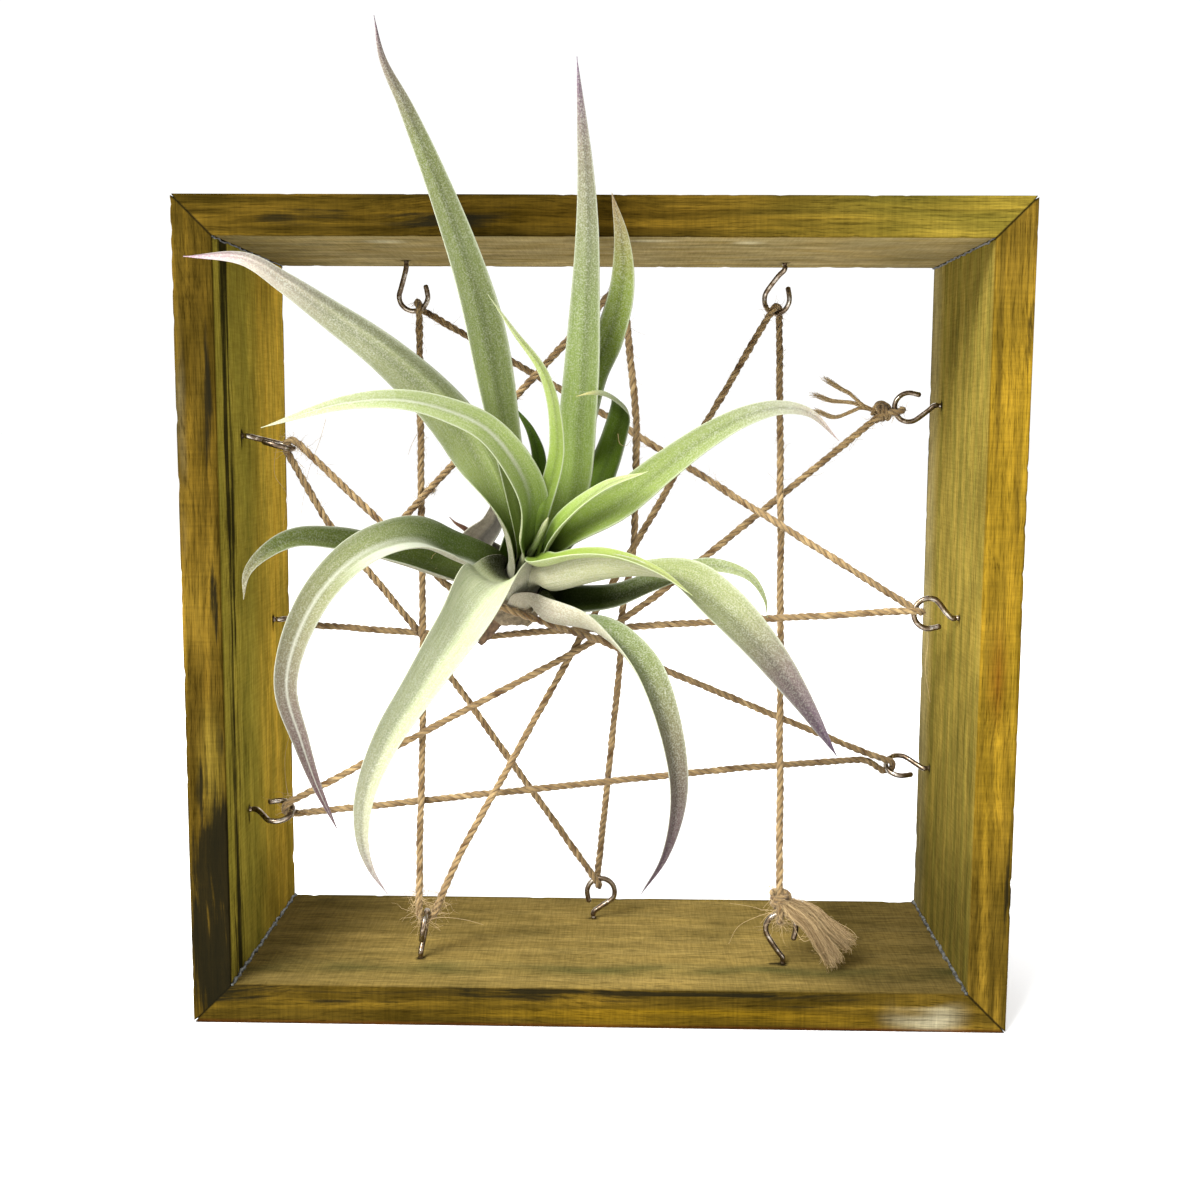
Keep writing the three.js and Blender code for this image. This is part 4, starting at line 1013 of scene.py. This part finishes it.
def leaf_piece(row, material, slot):
    name, layer, turn, bends, wrap, wide, fold, twist, taper_power, crease, through = row
    delay, flare, cup, broad, roll, roll_from, roll_over = SHAPING.get(name, PLAIN_SHAPING)
    radius, outward, foot, dense = leaf_spine(layer, turn, bends, through)
    line, length = respace(dense, LEAF_STEP)
    rings = len(line)
    tangents = tangents_of(line)
    facings = carried(tangents, -outward)
    seed = sum(ord(c) for c in name) % 97
    # Closer together towards the margins, where the blade thins
    side = np.linspace(-1, 1, ACROSS + 1)
    side = np.sign(side) * np.abs(side) ** 0.85
    # From here on a column, with a row for each ring
    u = (np.arange(rings) / (rings - 1))[:, None]

    def waver(scale, third):
        return noise_along(u[:, 0], scale, seed, third)[:, None]

    opening = smooth((u - (bends - foot) / length * 0.8 - delay) / flare)
    base_share = 1 - smooth((u - 0.2) / 0.35)
    taper = 1 - u**taper_power
    half_width = mix(radius * math.radians(wrap), wide * mix(1, broad, base_share), opening)
    half_width = np.maximum(half_width * taper * (1 + 0.035 * waver(7, 0)), 0.1)
    half_angle = mix(math.radians(wrap), math.radians(fold), opening) * mix(1, 0.55, smooth((u - 0.6) / 0.4))
    half_angle = half_angle + math.radians(cup) * opening * base_share
    bend_radius = half_width / half_angle
    deep = bend_radius * (1 - np.cos(half_angle))
    thick = mix(mix(SHEATH_THICKNESS, LEAF_THICKNESS, opening), TIP_THICKNESS, u**1.5)
    thick = np.minimum(thick, half_width * 1.1)
    roll_share = opening * (1 - smooth((u - roll_from) / roll_over))
    angle = math.radians(twist) * smooth(u) + math.radians(roll) * roll_share + 0.05 * waver(5, 9)
    turned = facings * np.cos(angle) + np.cross(tangents, facings) * np.sin(angle)
    across = np.cross(tangents, turned)
    # The section: a round trough, a sharp one, or between them
    arc_x = bend_radius * np.sin(side * half_angle)
    arc_h = bend_radius * (1 - np.cos(side * half_angle))
    sharp = (np.sqrt(side**2 + 0.03) - math.sqrt(0.03)) / (math.sqrt(1.03) - math.sqrt(0.03)) * deep
    height = blend(arc_h, sharp, crease * opening)
    # Margins ripple a little, each on its own
    ripple = np.where(side < 0, waver(9, 3), waver(9, 6))
    height = height + opening * taper * 0.35 * ripple * np.abs(side) ** 3 - opening * 0.5 * deep
    slope = np.stack([np.gradient(h, x) for h, x in zip(height, arc_x)])
    slope[half_width[:, 0] <= 0.2] = 0
    size = np.sqrt(slope**2 + 1)
    half = np.maximum(thick * (1 - 0.72 * np.abs(side) ** 3), 0.26 * taper + 0.08) / 2

    def in_section(x, h):
        return x[..., None] * across[:, None] + h[..., None] * turned[:, None]

    surface = line[:, None] + in_section(arc_x, height)
    skin = in_section(-slope / size, 1 / size) * half[..., None]
    points = np.concatenate([surface + skin, (surface - skin)[:, ::-1]], axis=1).reshape(-1, 3)
    places = np.stack(np.broadcast_arrays(np.append(side, side[::-1] + 3), u * length / 10), axis=-1)
    builder = Builder()
    builder.add(points, rings, leaf_colours(name, u, side, opening, across), places.reshape(-1, 2))
    piece_name = name if name.startswith("dry") else f"leaf_{name}"
    builder.piece(f"blade_{name}", material, slot, [piece_name], 60)


silvery = leaf_material("leaf_skin", 0.85)
# Leaves with a painted highlight down the crease of the fold
crease_highlit = leaf_material("crease_highlit_leaf_skin", 0.8, 0.4)
dry_look = dry_material()
CREASE_HIGHLIT_LEAVES = {"left_arching", "left_hanging"}
GREEN_SLOT = {"centre", "left_arching", "right_inner", "right_short", "upper_left"}
for leaf_row in LEAVES:
    leaf_name = leaf_row[0]
    if leaf_name.startswith("dry"):
        leaf_piece(leaf_row, dry_look, "dry_leaf")
    else:
        slot_name = "green_leaf" if leaf_name in GREEN_SLOT else "grey_leaf"
        leaf_piece(leaf_row, crease_highlit if leaf_name in CREASE_HIGHLIT_LEAVES else silvery, slot_name)


def spear_piece():
    """The rolled young leaf, with a seam that winds round it."""
    sides = 12
    middle = catmull([on_axis(18), on_axis(26), (-19.5, -31, 152.0), (-16, -38, 159.0)], 30)
    line, length = respace(middle, 0.6)
    u = np.linspace(0, 1, len(line))
    pts = swept(line, (1.25 - 0.4 * u) * np.sqrt(np.clip((1 - u) * 9, 0.05, 1)), sides)
    flat_u = np.repeat(u, sides)
    turn = np.tile(np.arange(sides), len(line)) / sides
    seam = np.exp(-(((turn - 0.5 - flat_u * 0.15) / 0.06) ** 2))
    colour = stops_at([(0, 150, 178, 84, 0.4), (0.6, 176, 200, 120, 0.5), (1, 214, 220, 170, 0.7)], flat_u)
    colour[:, :3] = colour[:, :3] * (1 - 0.35 * seam[:, None])
    builder = Builder()
    builder.add(pts, len(line), colour, np.stack([turn * 2, flat_u * length / 10], axis=1))
    builder.piece("blade_spear", silvery, "green_leaf", ["leaf_spear"], 60)


spear_piece()


def stem_piece():
    """A cone under the leaf bases, and a bent woody end."""
    builder = Builder()
    sideways = any_square(ROSETTE_AXIS)
    other = np.cross(ROSETTE_AXIS, sideways)
    profile = [(0.3, -2.5), (5, -2.2), (HEAD_RADIUS - 2, -1), (HEAD_RADIUS - 0.2, 0.3)]
    steps, around, sides = 12, 40, 22
    for k in range(1, steps + 1):
        cone_radius = HEAD_RADIUS - HEAD_HEIGHT * HEAD_SLOPE * k / steps
        profile.append((cone_radius, 0.3 + (HEAD_HEIGHT - 0.3) * k / steps))
    angles = np.arange(around) * TURN / around
    pts = []
    for r, height in profile:
        rough = 1 + 0.05 * np.sin(angles * 7 + height) + 0.03 * np.sin(angles * 17 + 2 * height)
        ways = np.outer(np.cos(angles) * r * rough, sideways) + np.outer(np.sin(angles) * r * rough, other)
        pts.append(on_axis(height) + ways)
    pts = np.concatenate(pts)
    colour = np.outer(1 + 0.5 * noise_at(pts, 0.5, 8), linear((150, 134, 104)))
    builder.add(pts, len(profile), np.clip(colour, 0, 1))
    line, _ = respace(catmull([on_axis(2), on_axis(-3), (-37, 1.5, 119), (-41, 0, 114)], 20), 0.6)
    u = np.linspace(0, 1, len(line))
    pts = swept(line, mix(3.2, 1.1, u) * (1 - 0.25 * smooth((u - 0.93) / 0.07)), sides)
    spine = np.repeat(line, sides, axis=0)
    rough = noise_at(pts, 0.9, 4) * 0.16 + noise_at(pts, 2.4, 6) * 0.08
    pts = spine + (pts - spine) * (1 + rough)[:, None]
    colour = np.outer(1 + 0.6 * noise_at(pts, 0.8, 10), linear((132, 104, 74)))
    builder.add(pts, len(line), np.clip(colour, 0, 1))
    look = rough_material("stem_bark", 0.9, 700, 0.65, (0.45, 0.42, 0.38), (1.3, 1.28, 1.25), 0.7, 0.4)
    builder.piece("stem_wood", look, "stem", ["stem"], 60)


stem_piece()

# The string's route, as in the part's source: each hook in turn, and the bends on the way to the next
LACING = [
    ("right_top", (56.5, 18, 160.1), (16.9, 7, 129.1), (6.2, 4.4, 121.8), (-0.9, 4.3, 116.1),
     (-12.8, 1.5, 109.3)),
    ("left_bottom", (47.5, 12, 69.8), (92.5, 23.5, 70.7)),
    ("right_bottom", (92, 20.5, 73.5), (19.5, 8, 105.1), (-0.8, 1.2, 115.6), (-12.2, -6, 120.2),
     (-21.7, -12, 124.3), (-31.2, -15, 127.9), (-39.8, -15.5, 131.2), (-48.6, -14, 134)),
    ("left_top", (-89.5, -11, 155.9), (-62.3, 1, 118.9)),
    ("bottom_middle", (5.9, 8.5, 106), (6.5, 7.6, 124.4), (10.3, 1, 147.5), (10.9, -8, 187)),
    ("top_middle", (-62, 4, 160.8), (-86.9, 15, 135.3)),
    ("left_middle", (-41.5, 6, 115.5), (-17.6, 3.5, 118.1)),
    ("right_middle", (-1.5, 13, 191.2)),
    ("top_left", (-59.6, -2.6, 115.2), (-59.5, -5.6, 85.6), (-59.5, -11.8, 62.4)),
    ("bottom_left", (-46.8, -16, 45.6), (-36.6, -10, 63.6), (-9.4, 6.2, 112.2)),
    ("top_right", (59.6, 12.5, 163)),
    ("bottom_right",),
]
KNOTS = {"right_top": (94.9, 25, 191.4), "bottom_right": (58.5, -19.8, 34)}
WRAP_RADIUS = WIRE_RADIUS + 1.7 * JOINT_GAP + STRING_RADIUS


def hook_top(hook):
    """The outer end of a hook's bend."""
    return hook_frame(hook)[0](hook.offset, hook.reach + HOOK_BEND)


def hook_seat(hook, pull):
    """Where the string bears on the bend, the way from there into it, and the way across it."""
    place, on_bend, opening, flat, inward = hook_frame(hook)
    seat = on_bend(min(max(math.atan2(pull.dot(inward), pull.dot(opening)), 0.5), 2.6))
    return seat, unit(place(hook.offset, hook.reach) - seat), flat


def hook_wrap(hook, before, after):
    to_before, to_after = unit(before - hook_top(hook)), unit(after - hook_top(hook))
    seat, bay, flat = hook_seat(hook, unit(to_before + to_after))
    if to_before.dot(flat) < to_after.dot(flat):
        flat = -flat
    start = math.atan2(to_before.dot(flat), -to_before.dot(bay))
    end = math.atan2(-to_after.dot(flat), to_after.dot(bay))
    if end < start:
        end += TURN
    steps = max(math.ceil((end - start) / math.radians(36)), 3)
    angles = [mix(start, end, k / steps) for k in range(steps + 1)]
    return [seat + flat * WRAP_RADIUS * math.cos(a) + bay * WRAP_RADIUS * math.sin(a) for a in angles]


def tied_end(name):
    """The string's points round a hook that it is tied to, with the knot's place and directions."""
    hook = HOOKS[name]
    knot = np.array(KNOTS[name], float)
    pull = unit(knot - hook_frame(hook)[0](hook.offset, hook.reach))
    _, _, flat = hook_seat(hook, pull)
    spread = STRING_RADIUS + 0.2
    start, back = knot + flat * spread, knot - flat * spread
    return [start, *hook_wrap(hook, start, back), back], (knot, pull, flat)


def string_route():
    points, ties = [], {}
    for index, (name, *bends) in enumerate(LACING):
        if index in (0, len(LACING) - 1):
            round_hook, ties[name] = tied_end(name)
            points += round_hook if index == 0 else round_hook[::-1]
        else:
            earlier, later = LACING[index - 1], LACING[index + 1]
            before = np.array(earlier[-1], float) if len(earlier) > 1 else hook_top(HOOKS[earlier[0]])
            after = np.array(bends[0], float) if bends else hook_top(HOOKS[later[0]])
            points += hook_wrap(HOOKS[name], before, after)
        points += [np.array(b, float) for b in bends]
    return points, ties


JUTE_DARK = linear((134, 100, 54))
JUTE = linear((186, 148, 94))
JUTE_PALE = linear((234, 202, 146))


def add_plies(builder, line, seed, ply_radius=PLY_RADIUS, offset=PLY_OFFSET):
    """Twisted plies along a line."""
    normals, sideways = axes_along(line)
    runs = np.concatenate([[0], np.cumsum(np.linalg.norm(np.diff(line, axis=0), axis=1))])
    slow = noise_along(runs, 0.05, seed, 0)
    thick = 1 + 0.14 * noise_along(runs, 0.16, seed, 5)
    far_runs = np.repeat(runs, PLY_SIDES)
    far_line = np.repeat(line, PLY_SIDES, axis=0)
    for ply in range(PLIES):
        phase = TURN * (runs / PLY_PITCH + ply / PLIES) + slow * 1.2
        own = thick * (1 + 0.16 * noise_along(runs, 0.3, seed, 9 + ply))
        way = normals * np.cos(phase)[:, None] + sideways * np.sin(phase)[:, None]
        centre = line + way * (offset * thick)[:, None]
        pts = swept(centre, own * ply_radius, PLY_SIDES, normals[0])
        spin = far_runs / 3.2 + np.tile(np.arange(PLY_SIDES), len(line)) / PLY_SIDES * 2 * math.pi
        ridge = 0.05 * np.sin(spin * 3 + ply)
        spine = np.repeat(centre, PLY_SIDES, axis=0)
        pts = spine + (pts - spine) * (1 + ridge)[:, None]
        tone = np.repeat(noise_along(runs, 0.22, seed + ply * 3, 20), PLY_SIDES)
        colour = blend(JUTE_DARK, JUTE_PALE, np.clip(0.5 + tone, 0, 1)[:, None])
        # Painted shade: deep between the plies it is darker
        groove_shade = smooth((np.linalg.norm(pts - far_line, axis=1) - 0.55) / 0.6)[:, None]
        builder.add(pts, len(line), colour * (0.42 + 0.58 * groove_shade), np.stack([spin, far_runs], axis=1))


def thin_fibre(builder, line, radius, taper, colour, sides=3):
    """A tube that thins along the line to a share of its radius."""
    builder.add(swept(line, radius * np.linspace(1, taper, len(line)), sides), len(line), colour)


def fibre(builder, start, way, length, radius, colour, curl, steps=3):
    """One loose fibre that bends as it goes."""
    points = [start]
    way = unit(way)
    for _ in range(steps):
        way = unit(way + gauss_vector() * curl)
        points.append(points[-1] + way * length / steps)
    thin_fibre(builder, np.array(points), radius, 0.35, np.clip(colour, 0, 0.9))


def out_of_string(line, i):
    """The string's direction at a point, and a random one square to it."""
    t = unit(np.gradient(line[i - 1:i + 2], axis=0)[1])
    square = any_square(t)
    angle = rng.uniform(0, TURN)
    return t, square * math.cos(angle) + np.cross(t, square) * math.sin(angle)


def fuzz(builder, line, per_mm, hot_spots):
    """Loose fibres all along the string, thicker near the hooks that rub it. A hot spot is a place, its
    reach, how many fibres, and how long they grow."""
    total = np.linalg.norm(np.diff(line, axis=0), axis=1).sum()
    for _ in range(int(total * per_mm)):
        i = rng.randrange(1, len(line) - 1)
        t, out = out_of_string(line, i)
        way = t * rng.choice((-1, 1)) * rng.uniform(0.5, 1.4) + out * rng.uniform(0.15, 0.9)
        size = rng.uniform(0.8, 2.6) if rng.random() < 0.82 else rng.uniform(2.5, 6.0)
        colour = JUTE_PALE * rng.uniform(0.75, 1.25)
        fibre(builder, line[i] + out * 1.0, way, size, rng.uniform(0.04, 0.065), colour, 0.28)
    for place, reach, number, longest in hot_spots:
        picks = np.flatnonzero(np.linalg.norm(line - np.array(place, float), axis=1) < reach)
        for _ in range(number):
            i = min(max(int(picks[rng.randrange(len(picks))]), 1), len(line) - 2)
            t, out = out_of_string(line, i)
            way = t * rng.choice((-1, 1)) * rng.uniform(0.0, 1.2) + out * rng.uniform(0.3, 1.0)
            size = rng.uniform(1.2, longest) if rng.random() < 0.75 else rng.uniform(0.6, 1.3) * longest
            colour = JUTE_PALE * rng.uniform(0.75, 1.35)
            falling = way + np.array([0, 0, -0.25])
            fibre(builder, line[i] + out * 0.9, falling, size, rng.uniform(0.055, 0.085), colour, 0.34, 5)


def brush(builder, line, number, frayed_from, packed, spread, extra, curly=0.25, darkest=0.4):
    """A bundle of fibres that follow the line and part towards its end: from which share of it on, how
    wide they lie before and after that, and how far past the end they reach."""
    normals, sideways = axes_along(line)
    last = len(line) - 1
    for _ in range(number):
        angle = rng.uniform(0, TURN)
        reach = math.sqrt(rng.random())
        start = int(last * rng.uniform(0.0, max(frayed_from, 0.3)))
        picks = np.linspace(start, last - rng.randrange(0, max(last // 4, 1)), 7).astype(int)
        bend = rng.uniform(-0.7, 0.7)
        pts = []
        for k in picks:
            u = k / last
            r = reach * (packed * smooth(u / 0.25 + 0.15) + spread * max(u - frayed_from, 0) ** 1.6)
            a = angle + bend * u + u * 1.4
            stray = gauss_vector() * 0.35 * curly
            pts.append(line[k] + normals[k] * math.cos(a) * r + sideways[k] * math.sin(a) * r + stray)
        drift = gauss_vector() * curly
        pts.append(pts[-1] + unit(unit(pts[-1] - pts[-2]) + drift) * rng.uniform(0.2, extra) * 0.5)
        radius = rng.uniform(0.06, 0.11)
        # Painted shade: fibres near the middle of the bundle are darker
        colour = mix(JUTE_DARK, JUTE_PALE, rng.uniform(darkest - 0.4, 1.2)) * (0.55 + 0.5 * reach)
        thin_fibre(builder, catmull(pts, 2), radius, 0.4, np.clip(colour, 0, 0.9))


# Loose fibres that the photo shows, away from the string or far out from it: radius and places
STRAYS = [
    (0.07, [(-89.1, -10, 188.7), (-91.2, -10, 181.7), (-94.5, -12, 172.1), (-96.6, -12, 162.4),
            (-97.8, -12, 154.3)]),
    (0.09, [(-63.5, 20, 184.5), (-65.9, 20, 180), (-67.3, 20, 176.2)]),
    (0.1, [(4.9, -20, 184.3), (5.6, -21.5, 181.2), (7.4, -22, 180.6), (9, -20.5, 182.4)]),
    (0.1, [(59.6, 20, 63), (63.4, 24, 57.3), (66.1, 22, 51.7), (69.5, 20, 47.2), (73.5, 18, 43.5),
           (78.2, 18, 41.1)]),
    (0.08, [(-101, -17, 62), (-104, -12, 68), (-106, -4, 77), (-105, 6, 88), (-107, 12, 97)]),
    (0.08, [(-101, -16, 184), (-105, -10, 180), (-108, -2, 170), (-106, 6, 163), (-109, 12, 152)]),
    (0.06, [(58, -20, 30), (51, -22, 28.5), (45, -22, 25), (42, -24, 20)]),
    (0.06, [(60, -21, 31), (54, -24, 31.5), (48, -26, 33.5), (42, -25, 34)]),
    (0.08, [(62, -22, 28), (66, -26, 22), (70, -25, 23), (74, -24, 21)]),
    (0.08, [(-60, -19, 24), (-52, -22, 27), (-44, -21, 26), (-38, -20, 24)]),
    (0.08, [(101, -14, 126), (106, -10, 120), (105, -12, 110), (107, -12, 98)]),
]
# Tufts of fibre where the string is worn: a place, how far it reaches and how many fibres
TUFTS = [((-57.6, 6.5, 165.2), 2.1, 110), ((6, 9, 105), 1.6, 30)]
TAILS = {
    "right_top": [
        [(87.9, 24, 194.1), (81, 23.2, 199.6), (74.7, 22.5, 203.1)],
        [(87, 24.6, 194), (79, 25.4, 195.4), (70.7, 25.5, 197.7)],
        [(88, 25, 193), (79.5, 26.4, 190.6), (71.2, 26.5, 192)],
    ],
    "bottom_right": [
        [(63, -20, 32), (69, -21, 30), (75, -23, 25), (81.8, -24, 20)],
        [(61.5, -22, 31), (67, -24, 27.5), (72, -25.5, 21.5), (76.6, -27.5, 14.8)],
    ],
}
HOT_SPOTS = [
    ((-59, -19, 24), 12, 170, 8.0), ((58, -20, 31), 8, 190, 7.5), ((95, 25, 191), 8, 70, 4.0),
    ((61, 28, 230), 10, 60, 5.0), ((-68, 25, 228), 10, 40, 4.0), ((-100, -16, 183), 10, 50, 6.0),
    ((-102, -18, 62), 12, 60, 8.0), ((102, -14, 126), 10, 50, 6.0), ((-3, 22, 24), 9, 30, 4.0),
    ((98, 24, 68), 9, 30, 4.0), ((-12, -2, 120), 16, 60, 6.0),
]


def knot_and_tails(builder, loose, name, tie):
    """A hitch of nearly three turns, a loop that crosses it and the loose tails."""
    knot, pull, flat = tie
    side = unit(np.cross(flat, pull))
    turns, count = 2.6, 90
    coil = np.array([
        knot + pull * mix(-KNOT_HALF, KNOT_HALF, k / (count - 1))
        + side * math.cos(a) * KNOT_RADIUS + flat * math.sin(a) * KNOT_RADIUS
        for k, a in enumerate(np.linspace(0, turns * TURN, count))
    ])
    add_plies(builder, coil, 3.0, 0.6, 0.5)
    over = catmull([
        knot + pull * 3.2 + flat * 0.8, knot + side * 3.0 + pull * 1.0,
        knot + side * 2.9 - pull * 1.4 + flat * 1.2, knot - pull * 3.0 + flat * 0.6,
        knot - side * 2.2 - pull * 1.2 - flat * 1.6,
    ], 14)
    add_plies(builder, respace(over, 0.5)[0], 4.0, 0.58, 0.5)
    for tail in TAILS[name]:
        line, length = respace(catmull([knot, *tail], 16), 0.5)
        if name == "bottom_right":
            brush(loose, line, 400, 0.25, 2.3, 1.8, 3.6, 0.9)
            fuzz(loose, line, 2.0, [(line[len(line) * 2 // 3], 6, 60, 5.0)])
            continue
        u = np.linspace(0, 1, len(line))
        wave = np.stack([noise_along(u, 3.5, k * 5, length) for k in range(3)], axis=1)
        line = line + wave * (u * 1.6)[:, None]
        sides = 8
        runs = np.repeat(u * length, sides)
        spin = runs / 2.2 + np.tile(np.arange(sides), len(line)) / sides * 2 * math.pi
        pts = swept(line, 0.52 * (1 - 0.75 * smooth((u - 0.55) / 0.45)), sides)
        builder.add(pts, len(line), JUTE * 0.95, np.stack([spin, runs], axis=1))
        brush(loose, line, 95, 0.5, 0.5, 1.9, 4.2, 0.35, 1.2)


def string_pieces():
    points, ties = string_route()
    line, length = respace(rounded_line(points, ROUNDED_BEND), STRING_STEP)
    # Hand-pulled string isn't quite straight
    runs = np.linspace(0, length, len(line))
    line = line + np.stack([noise_along(runs, 0.06, k * 7, 1) for k in range(3)], axis=1) * 0.28
    string, frayed, loose = Builder(), Builder(), Builder()
    add_plies(string, line, 1.0)
    for name, tie in ties.items():
        knot_and_tails(string, frayed, name, tie)
    string.piece("jute_string", jute_material(), "jute", ["string"], 70)
    fibre_look = fibre_material()
    frayed.piece("jute_frayed_ends", fibre_look, "jute")
    fuzz(loose, line, 1.9, HOT_SPOTS)
    for radius, stray in STRAYS:
        thin_fibre(loose, catmull(stray, 6), radius, 0.5, JUTE_PALE, 4)
    for place, reach, count in TUFTS:
        for _ in range(count):
            way = gauss_vector()
            colour = JUTE_PALE * rng.uniform(0.6, 1.2)
            fibre(loose, np.array(place) + way * 0.25 * reach, way, reach, 0.09, colour, 0.7, 5)
    loose.piece("jute_fibres", fibre_look, "jute")


string_pieces()


# Floor, light and air
def stage():
    look = Look("pale_floor", {"Roughness": 0.8})
    size = 14.0
    mesh = bpy.data.meshes.new("floor")
    corners = [(-size, -size, 0), (size, -size, 0), (size, size, 0), (-size, size, 0)]
    mesh.from_pydata(corners, [], [(0, 1, 2, 3)])
    mesh.materials.append(look.dress((0.93, 0.93, 0.93)))
    floor = bpy.data.objects.new("floor", mesh)
    floor.location.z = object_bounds()[0][2] - 0.0002
    bpy.context.scene.collection.objects.link(floor)
    floor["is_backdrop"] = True
    world = bpy.data.worlds.new("air")
    world.use_nodes = True
    back = world.node_tree.nodes["Background"]
    back.inputs["Color"].default_value = (1.0, 1.0, 1.0, 1)
    back.inputs["Strength"].default_value = 1.08
    bpy.context.scene.world = world
    for name, place, aim, size, power in (
        ("key", (-0.75, -1.0, 1.15), (0, 0, 0.13), 0.8, 85.0),
        ("fill", (1.1, -0.9, 0.55), (0, 0, 0.12), 1.1, 6.0),
        ("behind", (0.2, 1.1, 0.9), (0, 0, 0.12), 1.0, 8.0),
    ):
        data = bpy.data.lights.new(name, "AREA")
        data.size = size
        data.energy = power
        lamp = bpy.data.objects.new(name, data)
        lamp.location = place
        lamp.rotation_euler = (Vector(aim) - Vector(place)).to_track_quat("-Z", "Y").to_euler()
        bpy.context.scene.collection.objects.link(lamp)


stage()
bpy.context.scene.view_settings.view_transform = "Standard"
